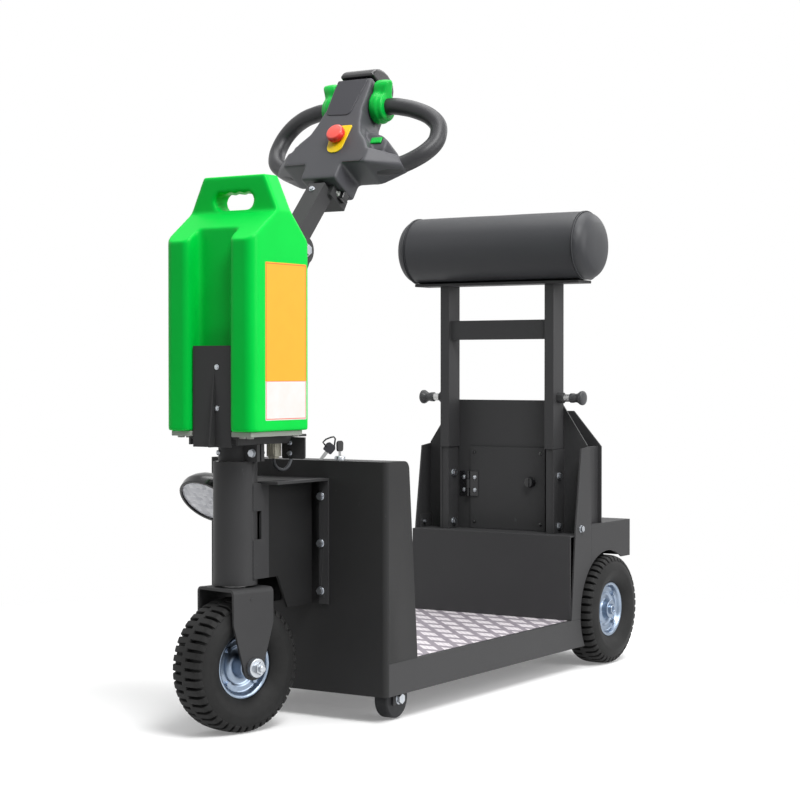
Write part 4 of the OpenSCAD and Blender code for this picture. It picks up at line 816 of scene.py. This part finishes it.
def add_carrier_of_battery():
    for node, width, steps in (("battery_bracket", 1.2, 2), ("battery_shelf", 1, 2), ("clamp_collar", 1.4, 3),
                               ("tiller_mast", 1.5, 3)):
        eased(node, width, "steering", "frame_black", steps)
    bolts = Shape()
    bolts.bolt(towards((0, -1, 0), (51, -12, 544)), 13, 5, 8.2)
    bolts.bolt(towards((0, 1, 0), (51, 12, 544)), 13, 6, 8.2)
    bolts.bolt(towards((-0.55, -0.835, 0), (-18, -27.4, 544)), 8, 3.6, 5.4)
    for z in (710, 631):
        head = towards((0, -1, 0), (12, -73, z))
        bolts.lathe([(0, 2.6), (2.4, 2.5), (3.6, 1.9), (4.2, 0.6), (4.2, -1)], head, 28)
        bolts.washer(5.2, 2, 0.6, head)
    for x, z in ((57, 561), (57, 540)):
        bolts.bolt(towards((0, -1, 0), (x, 102, z)), 8, 3.6, 5.6)
    bolts.piece("steering_bolts_plated", "zinc", "steering", "zinc", ("steering_bolts",))
    pivot = Shape()
    end = Vector((46.6, 0, 0))
    pivot.rod(TILLER_PIVOT - end, TILLER_PIVOT + end, 8, 32)
    for side in (1, -1):
        pivot.bolt(towards((side, 0, 0), TILLER_PIVOT + Vector((side * 46.5, 0, 0))), 19, 7, 14)
    pivot.piece("tiller_pivot_plated", "zinc", "steering", "zinc", ("tiller_pivot_bolt",))

    plug = Shape()
    plug.box((15, 80.5, 533), (37, 102, 572), 1.6, 3)
    for x in (20, 26, 32):
        plug.box((x - 1.1, 78.9, 538), (x + 1.1, 81, 566), 0.4)
    plug.box((18, 83, 529), (34, 98, 534), 1)
    plug.piece("battery_plug", "plug_cream", "steering", "grey_plastic", ("battery_connector",))
    plate = Shape()
    outline = round_outline([(37, 529), (93, 529), (93, 572), (37, 572)], [5, 5, 1, 1], 4)
    plate.slab(outline, -106, -102, 0.7, 2, STANDING)
    plate.piece("battery_plug_plate", "frame_black", "steering", "frame_black")
    lead = Shape()
    lead.tube([(26, 90, 530), (26, 91, 522), (27, 95, 514), (30, 101, 508), (34, 108, 506), (37, 116, 508),
               (38, 124, 514), (38, 131, 524), (37, 136, 538), (36, 139, 554), (36, 140, 571)], 3.6, 14)
    lead.piece("battery_lead", "lead_grey", "steering", "grey_plastic")


# Head of the tiller, in its own frame: z runs up its face, y points back
LOOP = [(46, *GRIP), (67, *GRIP), (92, *GRIP), (112, 18.6, 204.9), (140, 24, 200), (172, 36, 191),
        (195, 46, 173), (203, 49, 148), (201, 48, 122), (184, 42, 92), (148, 38, 67), (122, 28, 54),
        (104, 20, 49)]


def smooth_path(knots, steps=6):
    """Points along a smooth curve through knots."""
    knots = [Vector(knot) for knot in knots]
    ends = [knots[0] * 2 - knots[1]] + knots + [knots[-1] * 2 - knots[-2]]
    path = []
    for a, b, c, d in zip(ends, ends[1:], ends[2:], ends[3:]):
        for i in range(steps):
            t = i / steps
            path.append(0.5 * (2 * b + (c - a) * t + (2 * a - 5 * b + 4 * c - d) * t ** 2
                               + (3 * b - a - 3 * c + d) * t ** 3))
    return path + [knots[-1]]


def add_head_shell():
    shell = Shape()
    face = [(44, -8), (46, 30), (92, 30), (100, 62), (84, 90), (64, 112), (54, 140), (50, 163), (46, 172),
            (46, 232), (44, 256)]
    shoulder = [(40, 31), (95, 31), (95, 74), (118, 80), (120, 104), (100, 120), (70, 130), (40, 142)]
    shell.slab(mirrored(face), -55, 27.5, 3.5, 2, STANDING)
    shell.slab(mirrored(shoulder), -57, -0.5, 3.5, 2, STANDING)
    shell.box((-34, -13, 240), (34, 45, 280))
    for side in (1, -1):
        shell.hull([(side * x, y, z) for x in (88, 101) for y in (-27, 55) for z in (30, 66)]
                   + [(side * (151 - 11 * math.sin(a)), 38 + 19.5 * math.cos(a), 69 + 16 * math.sin(a))
                      for a in spread(0, 2 * math.pi, 24)])
        shell.hull([(side * x, y, z) for x in (60, 90) for y in (-27, 20) for z in (30, 40)])
    shell.join(2.4, 7)
    shell.piece("head_shell_moulded", "head_plastic", "tiller", "head_plastic", ("tiller_head",), HEAD, 60)

    plate = Shape()
    outline = round_outline([(-41, 252), (-41, 160), (22, 156), (25, 186), (36, 252)], [3, 12, 12, 40, 3], 6)
    plate.slab(outline, 27, 29.2, 1.1, 3, STANDING)
    plate.piece("head_blank_plate", "blank_plate", "tiller", "head_plastic", place=HEAD)

    clip = Shape()
    clip.box((20, 16, -21), (32, 30, -8), 2.5, 3)
    clip.box((24, 11, -18), (29, 17, -11), 1.2, 2)
    clip.piece("head_cable_clip", "blank_grey", "tiller", "grey_plastic", place=HEAD)
    holder = Shape()
    holder.box((14, 20, -25), (42, 40, -6), 2.5, 3)
    holder.piece("head_clip_holder", "button_black", "tiller", "grey_plastic", place=HEAD)
    seams = Shape()
    for side in (1, -1):
        seams.tube([(side * 48, -27.2, 31.5), (side * 90, -27.2, 31.5), (side * 101, -25.5, 50)], 0.8, 8)
    seams.piece("head_seams", "button_black", "tiller", "head_plastic", place=HEAD)


def add_loop():
    loop = Shape()
    path = smooth_path(LOOP)
    loop.tube(path, 17.9, 40)
    loop.tube([(-p.x, p.y, p.z) for p in path], 17.9, 40)
    loop.piece("loop_grip_moulded", "loop_grip", "tiller", "loop_grip", ("handle_loop",), HEAD, 60)


def wing_outline(radius, lobe, reach):
    """Disc with one lobe that leans back, in y and z round the loop's middle line."""
    lean = 124
    meet = math.degrees(math.asin(lobe / radius))
    disc = arc((0, 0), radius, spread(lean + meet, 360 + lean - meet, 36))
    tip, = arc((0, 0), reach, [lean])
    return disc + arc(tip, lobe, spread(lean - 90, lean + 90, 18))


def add_wings():
    """Two kidney-shaped throttles: thick at the hub, with a lobe that flares outwards."""
    for name, side in SIDES:
        wing = Shape()
        hub = Matrix.Translation((0, *GRIP)) @ SIDEWAYS
        wing.slab(wing_outline(35, 17, 41), 47, 66, 3, 3, hub)
        wing.slab(wing_outline(31, 15, 42), 60, 77, 6, 3, hub)
        for v in wing.bm.verts:
            beyond = max(0.0, (v.co.z - GRIP[1]) * 0.83 - (v.co.y - GRIP[0]) * 0.56 - 22)
            v.co.x += beyond ** 2 * 0.0085 * (0.4 if v.co.x < 60 else 1)
        wing.join(2.0, 9)
        for v in wing.bm.verts:
            v.co.x *= side
        if side < 0:
            bmesh.ops.reverse_faces(wing.bm, faces=wing.bm.faces)
        stands_for = ("throttle_wings",) if side > 0 else ()
        wing.piece("throttle_wing_" + name, "green_plastic", "throttle", "green_plastic",
                   stands_for, HEAD, 60)


def add_buttons():
    cap = Shape()
    profile = [(-28, 262), (-27.6, 268), (-25, 277), (-19, 285), (-8, 293.5), (6, 299.5), (22, 302),
               (38, 300.5), (50, 295.5), (59, 286), (63.4, 274), (64, 262)]
    cap.slab(profile, -42, 42, 5, 4, SIDEWAYS)
    cap.piece("head_cap_moulded", "button_black", "belly", "button_black", ("belly_button",), HEAD, 50)

    face = Matrix.Translation((16, -28, 97)) @ STANDING
    plate = Shape()
    outline = round_outline([(-18, -40), (18, -40), (25, 30), (-25, 30)], [17, 17, 4, 4], 8)
    plate.slab(outline, -0.5, 2, 0.7, 3, face)
    plate.piece("stop_plate_moulded", "stop_yellow", "tiller", "stop_yellow", ("stop_plate",), HEAD)
    knob = Shape()
    knob.lathe([(0, 2), (11.9, 2), (11.9, 6), (17.6, 6.6), (19.2, 7.6), (20, 9.4), (20, 14), (19.3, 18.5),
                (17.4, 20.8), (15.4, 21.4), (14.2, 21.2), (13.2, 21.5), (8, 22.3), (0, 22.5)], face, 64)
    knob.piece("stop_knob_moulded", "stop_knob", "stop", "stop_red", ("stop_button",), HEAD, 40)

    for name, side in SIDES:
        x = side * 92
        strip = Shape()
        strip.box((x - 13.6, -2.4, 96.4), (x + 13.6, 5, 111.6), 2.2, 4)
        for i in range(5):
            strip.rod((x - 8 + 4 * i, -2.2, 99), (x - 8 + 4 * i, -2.2, 109), 0.8, 10)
        strip.piece("thumb_strip_" + name, "green_plastic", "thumb_" + name, "green_plastic",
                    ("thumb_button_" + name,), HEAD, 50)
        seat = Shape()
        seat.box((x - 14.4, -0.2, 95.6), (x + 14.4, 7, 112.4))
        seat.piece("thumb_seat_" + name, "button_black", "tiller", "button_black", place=HEAD)


def add_pole():
    eased("tiller_pole", 2.6, "tiller", "frame_black", 4)
    pole = VEHICLE @ Matrix.Translation(TILLER_PIVOT) @ turned(-42, "X")
    screw = Shape()
    screw.bolt(towards((0, -1, 0), (-4, -20, 160)), 9, 3.4, 6.4)
    screw.piece("pole_bolt", "zinc", "tiller", "zinc", place=pole)


# Steered front and the box behind it
def add_fork_and_axle():
    fork = softened("fork", 2.2, 3)
    fork.put(fork.rod((55.6, -6, 262), (56.7, -6, 262), 3.4, 20, 0.4), FORK_TURN)
    fork.piece("fork_bent", "frame_black", "steering", "frame_black", ("fork",))
    axle = Shape()
    for side in (1, -1):
        end = towards((side, 0, 0), (0, 0, 0))
        axle.lathe([(7.1, 44.6), (13, 44.6), (13, 49.9), (7.1, 49.9), (7.1, 44.6)], end, 40)
        axle.lathe([(7.1, 56.1), (18, 56.1), (19, 57), (19, 66), (18.2, 67.4), (16.8, 68), (7.1, 68),
                    (7.1, 56.1)], end, 56)
        axle.hexagon(21, 10, end @ Matrix.Translation((0, 0, 68)))
    rod = [(0, -84), (5.8, -84), (7, -82.6), (7, 82.6), (5.8, 84), (0, 84)]
    axle.lathe(rod, towards((1, 0, 0), (0, 0, 0)), 40)
    axle.piece("front_axle_plated", "zinc", "steering", "zinc", ("front_axle",), FRONT_WHEEL)


def add_column():
    column = softened("steering_column", 1.3, 3, 35, 0.2)
    for side in (1, -1):
        for low, high in ((302, 372), (433, 481)):
            heights = spread(low, high, int((high - low) / 3))
            path = [(side * 43.4, 1.2 + 0.5 * math.sin(i * 2.2), z) for i, z in enumerate(heights)]
            column.tube(path, [1.9 + 0.35 * math.cos(i * 2.2) for i in range(len(path))], 10)
    column.tube([(x, 198.2, 484.6 + 0.4 * math.sin(x)) for x in range(-82, 83, 3)], 2.2, 10)
    # the column takes the powder coat with the web's painted shade
    column.piece("steering_column_welded", "web_painted_shade", "root", "frame_black",
                 ("steering_column",), smooth=40)


def add_front_box():
    # the front panel takes the darker copy of the powder coat, which is painted shade
    rows = (("front_panel", 1.4, 3, "panel_painted_shade"), ("front_cover", 0.9, 2, "frame_black"))
    for node, width, steps, finish in rows:
        softened(node, width, steps).piece(node + "_folded", finish, "root", "frame_black", (node,))


def add_body_bolts():
    bolts = Shape()
    for z in (259, 355, 450):
        for x in (-66, 66):
            bolts.bolt(towards((0, -1, 0), (x, 195, z)))
            bolts.rod((x, 190, z), (x, 206, z), 4, 20)
    for z in (335, 454):
        for side in (1, -1):
            bolts.bolt(towards((side, 0, 0), (side * 156.8, POSTS_Y, z)))
            bolts.bolt(towards((-side, 0, 0), (side * 134.8, POSTS_Y, z)), height=6.5)
            bolts.rod((side * 127, POSTS_Y, z), (side * 158, POSTS_Y, z), 4, 20)
    for side in (1, -1):
        bolts.bolt(towards((side, 0, 0), (side * 221.5, 1033, 332)))
        bolts.rod((side * 206, 1033, 332), (side * 222, 1033, 332), 4, 20, 0.6)
        bolts.bolt(towards((side, 0, 0), (side * 204, 272, 43)), 19, 7.4, 12)
        bolts.rod((side * 162, 272, 43), (side * 205, 272, 43), 6, 28)
        for z in (165, 205):
            bolts.bolt(towards((0, 1, 0), (side * 32, 1299, z)))
            bolts.rod((side * 32, 1285, z), (side * 32, 1300, z), 4, 20)
    ring = [(4.6, 522.1), (11, 522.1), (11, 527.6), (10, 529.4), (8.4, 530), (5.4, 530), (4.6, 529),
            (4.6, 522.1)]
    bolts.lathe(ring, Matrix.Translation((*SWITCH, 0)), 48)
    bolts.piece("body_bolts_plated", "zinc", "root", "zinc", ("body_bolts",))


def add_key():
    """Key in the switch, with a second key that hangs from it by a loop of cord."""
    stand = Matrix.Translation((*SWITCH, 541)) @ turned(90, "Z") @ STANDING
    seen = Matrix.Translation((64, 220, 539)) @ turned(33, "Z") @ STANDING
    hang = seen @ turned(-37, "Z")
    blades, bows = Shape(), Shape()
    blades.box((-3.4, -17, -0.9), (3.4, 0, 0.9), 0.3, 1, stand)
    cuts = [(-3.6, 0), (3.6, 0), (3.6, -12), (2.4, -14), (3.4, -16), (2.2, -18.5), (3.4, -20.5), (2, -23),
            (0.4, -25.4), (-3.6, -22)]
    blades.slab(cuts, -0.9, 0.9, 0.25, 1, hang)
    blades.piece("key_blades", "steel", "key", "steel", ("ignition_key",))
    outline = round_outline([(-10, -2), (10, -2), (11, 16), (6, 20), (-6, 20), (-11, 16)], 5, 4)
    bows.slab(outline, -1.9, 1.9, 0.9, 2, stand)
    bows.piece("key_bow", "button_black", "key", "button_black")
    other = Shape()
    outline = round_outline([(-10, -1), (10, -1), (11, 14), (7, 19), (-7, 19), (-11, 14)], 3, 4)
    other.slab(outline, -2.2, 2.2, 0.9, 2, hang)
    other.piece("key_bow_hanging", "blank_plate", "key", "button_black")
    cord = Shape()
    loop = [(-4, 14), (-8, 19), (-2, 25), (8, 29), (14, 30), (17, 26), (16, 19), (15, 11), (9, 8), (2, 8)]
    cord.tube([seen @ Vector((x, y, 2.6 if i < 3 else 0)) for i, (x, y) in enumerate(loop)], 1.7, 10, True)
    cord.piece("key_cord", "roller_rubber", "key", "button_black")


def add_headlamp():
    """Round lamp that looks down at the floor: bowl, lens, and an arm to the front panel."""
    front = Matrix.Translation((-146, 96, 436)) @ turned(135, "X")
    bowl = Shape()
    outside = [(56.6, -1.6), (57.4, 0.6), (61.5, 0.8), (63, -0.6), (63, -13), (61.5, -19), (55, -30),
               (46, -40), (36, -46.5), (25, -49.4), (12, -50), (9, -50.6), (9, -60), (0, -60)]
    bowl.lathe(outside + [(0, -44), (24, -43), (44, -32), (54, -16), (56.6, -1.6)], front, 80)
    for i in range(3):
        bowl.box((-3, 60, -14), (3, 62.9, -2), 0.6, 1, front @ turned(35 + 120 * i, "Z"))
    bowl.rod((-146, 133, 478.4), (-146, 198.8, 478.4), 9, 32, 0.6)
    bowl.rod((-146, 195, 478.4), (-146, 198.9, 478.4), 16, 40, 0.6)
    bowl.piece("headlamp_bowl", "button_black", "root", "button_black", ("headlamp",), smooth=40)
    lens = Shape()
    lens.lathe([(56.8, -6), (56.8, -3), (48, -1.6), (32, -0.4), (16, 0.3), (0, 0.5), (0, -6), (56.8, -6)],
               front, 80)
    lens.piece("headlamp_lens", "lens", "root", "button_black", smooth=50)


# Deck, rear frame and backrest
EASED = [
    ("sills", 1.2, "root"), ("riser_panel", 1.2, "root"), ("rear_uprights", 1.2, "root"),
    ("rear_hood", 1.5, "root"), ("carrier_panel", 1.2, "root"), ("guard_panel", 1.2, "root"),
    ("guide_bars", 1.5, "root"), ("tow_plate", 1.5, "root"), ("carrier_door", 1.0, "door"),
    ("backrest_frame", 2.2, "backrest"), ("backrest_board", 1.5, "backrest"),
    ("plunger_bushes", 1.0, "backrest"),
]


def add_eased_panels():
    for node, width, body in EASED:
        eased(node, width, body, "frame_black", 3)
    for name in ("left", "right"):
        eased("support_roller_" + name, 4, "roller_" + name, "roller_rubber", 4)


def add_door_fittings():
    """Hinge with a fixed and a moving leaf, screws, and a round latch with a grip."""
    fixed, moving = Shape(), Shape()
    leaf = round_outline([(-131, 397), (-108.6, 397), (-108.6, 457), (-131, 457)], [2, 0, 0, 2], 3)
    fixed.slab(leaf, -1071, -1068.4, 0.5, 1, STANDING)
    barrel = DOOR_FACE - 4
    for low, high in ((396.4, 415), (439, 457.6)):
        fixed.rod((-104, barrel, low), (-104, barrel, high), 4, 24, 0.5)
        fixed.box((-109, barrel, low), (-104, DOOR_FACE + 4.4, high), 0.4)
    fixed.rod((-104, barrel, 396), (-104, barrel, 458), 1.5, 16)
    fixed.piece("door_hinge_fixed", "button_black", "root", "zinc")
    leaf = round_outline([(-99.4, 397), (-77, 397), (-77, 457), (-99.4, 457)], [0, 2, 2, 0], 3)
    moving.slab(leaf, -DOOR_FACE, -DOOR_FACE + 2.4, 0.5, 1, STANDING)
    moving.piece("door_hinge_moving", "button_black", "door", "frame_black")

    domed = [(0, 3.2), (2.6, 3), (4.6, 2), (5.6, 0), (0, 0)]
    flat = [(0, 1.6), (2.6, 1.5), (4, 0.8), (4.4, -0.4), (0, -0.4)]
    for name, finish, body, slot, profile, y, spots in (
        ("door_hinge_screws", "zinc", "door", "zinc", domed, DOOR_FACE - 2.4, ((-86, 411), (-86, 442))),
        ("fixed_hinge_screws", "zinc", "root", "zinc", domed, 1068.4, ((-119, 411), (-119, 442))),
        ("door_screws", "button_black", "door", "frame_black", flat, DOOR_FACE,
         ((-88, 334), (-88, 504), (95, 334), (95, 504))),
    ):
        screws = Shape()
        for x, z in spots:
            screws.lathe(profile, towards((0, -1, 0), (x, y, z)), 28)
        screws.piece(name, finish, body, slot)

    latch = Shape()
    place = towards((0, -1, 0), (69, DOOR_FACE, 435))
    latch.lathe([(7, -9), (7, 0), (13, 0.3), (13, 1.4), (12.4, 2), (11.8, 4.5), (11.8, 11), (11, 12.6),
                 (9.6, 13), (0, 13), (0, -9), (7, -9)], place, 56)
    latch.box((-2.2, -10.5, 12.4), (2.2, 10.5, 15.6), 1, 3, place)
    latch.box((0, -6.8, -6.8), (20, 6.8, -4.6), 0.6, 2, place)
    latch.piece("door_latch_moulded", "button_black", "latch", "button_black", ("door_latch",))


def add_plungers():
    """Index plungers: a pin, a bright collar and a mushroom knob."""
    for name, side in SIDES:
        place = towards((side, 0, 0), (0, POSTS_Y, PLUNGERS_Z))
        pin = Shape()
        pin.lathe([(0, 144.9), (4.2, 144.9), (5, 145.7), (5, 198), (0, 198)], place, 32)
        pin.lathe([(0, 172.2), (8, 172.2), (9, 173), (9, 190), (0, 190)], place, 32)
        pin.piece("plunger_pin_" + name, "steel", "pin_" + name, "steel", ("plunger_" + name,))
        knob = Shape()
        knob.lathe([(0, 188), (10.4, 188), (11.4, 189.4), (11.4, 197), (10.2, 201), (10.6, 206), (13, 211),
                    (16, 215), (17, 218.6), (16.6, 222), (14.6, 224), (8, 224.6), (0, 224.6), (0, 188)],
                   place, 48)
        knob.piece("plunger_knob_" + name, "knob_black", "pin_" + name, "button_black", smooth=50)


def add_cushion():
    """Round cushion: a stuffed roll with domed ends, sewn in at both ends and flat on its board."""
    across = towards((1, 0, 0), (0, POSTS_Y, CUSHION_Z))
    roll = Shape()
    half = [(0, 262), (36, 261.4), (58, 258), (70, 251), (77.6, 240), (80.6, 228), (80.9, 221), (81.2, 210),
            (81.4, 150), (81.5, 75)]
    profile = half + [(81, 0)] + [(r, -z) for r, z in reversed(half)]
    roll.lathe(profile, across, 72)
    for v in roll.bm.verts:
        v.co.z = max(v.co.z, 916)
    roll.join(6, 2)
    made = roll.piece("cushion_roll", "cushion_skin", "backrest", "cushion_skin",
                      ("backrest_cushion",), smooth=60)
    puff(made, 5)
    seams = Shape()
    for side in (1, -1):
        for x, r, bead in ((231, 80.6, 1.6), (226.6, 81.2, 0.9)):
            ring = arc((POSTS_Y, CUSHION_Z), r, spread(0, 360, 96)[:96])
            seams.tube([(side * x, y, max(z, 917.4)) for y, z in ring], bead, 8, True)
    seams.piece("cushion_seams", "cushion_skin", "backrest", "cushion_skin", smooth=60)


def puff(made, most):
    """Cloth under pressure fills the cushion out; no point moves further than most."""
    scene = bpy.context.scene
    rest = [v.co.copy() for v in made.data.vertices]
    cloth = made.modifiers.new("cloth", "CLOTH")
    cloth.settings.use_pressure = True
    cloth.settings.uniform_pressure_force = 4
    cloth.settings.effector_weights.gravity = 0
    cloth.point_cache.frame_start, cloth.point_cache.frame_end = 1, 20
    for number in range(1, 21):
        scene.frame_set(number)
    mesh = bpy.data.meshes.new_from_object(made.evaluated_get(bpy.context.evaluated_depsgraph_get()))
    made.modifiers.remove(cloth)
    for v, at, after in zip(made.data.vertices, rest, mesh.vertices):
        step = after.co - at
        v.co = at + step * min(1, most * MM / max(step.length, 1e-9))
        v.co.z = max(v.co.z, 915.3 * MM)
    scene.frame_set(1)
    finer = made.modifiers.new("finer", "SUBSURF")
    finer.levels = finer.render_levels = 1


# Making
add_camera()
add_studio()
dress_nodes()
add_front_wheel()
add_rear_wheels()
add_battery()
add_carrier_of_battery()
add_head_shell()
add_loop()
add_wings()
add_buttons()
add_pole()
add_fork_and_axle()
add_column()
add_front_box()
add_body_bolts()
add_key()
add_headlamp()
add_eased_panels()
add_door_fittings()
add_plungers()
add_cushion()
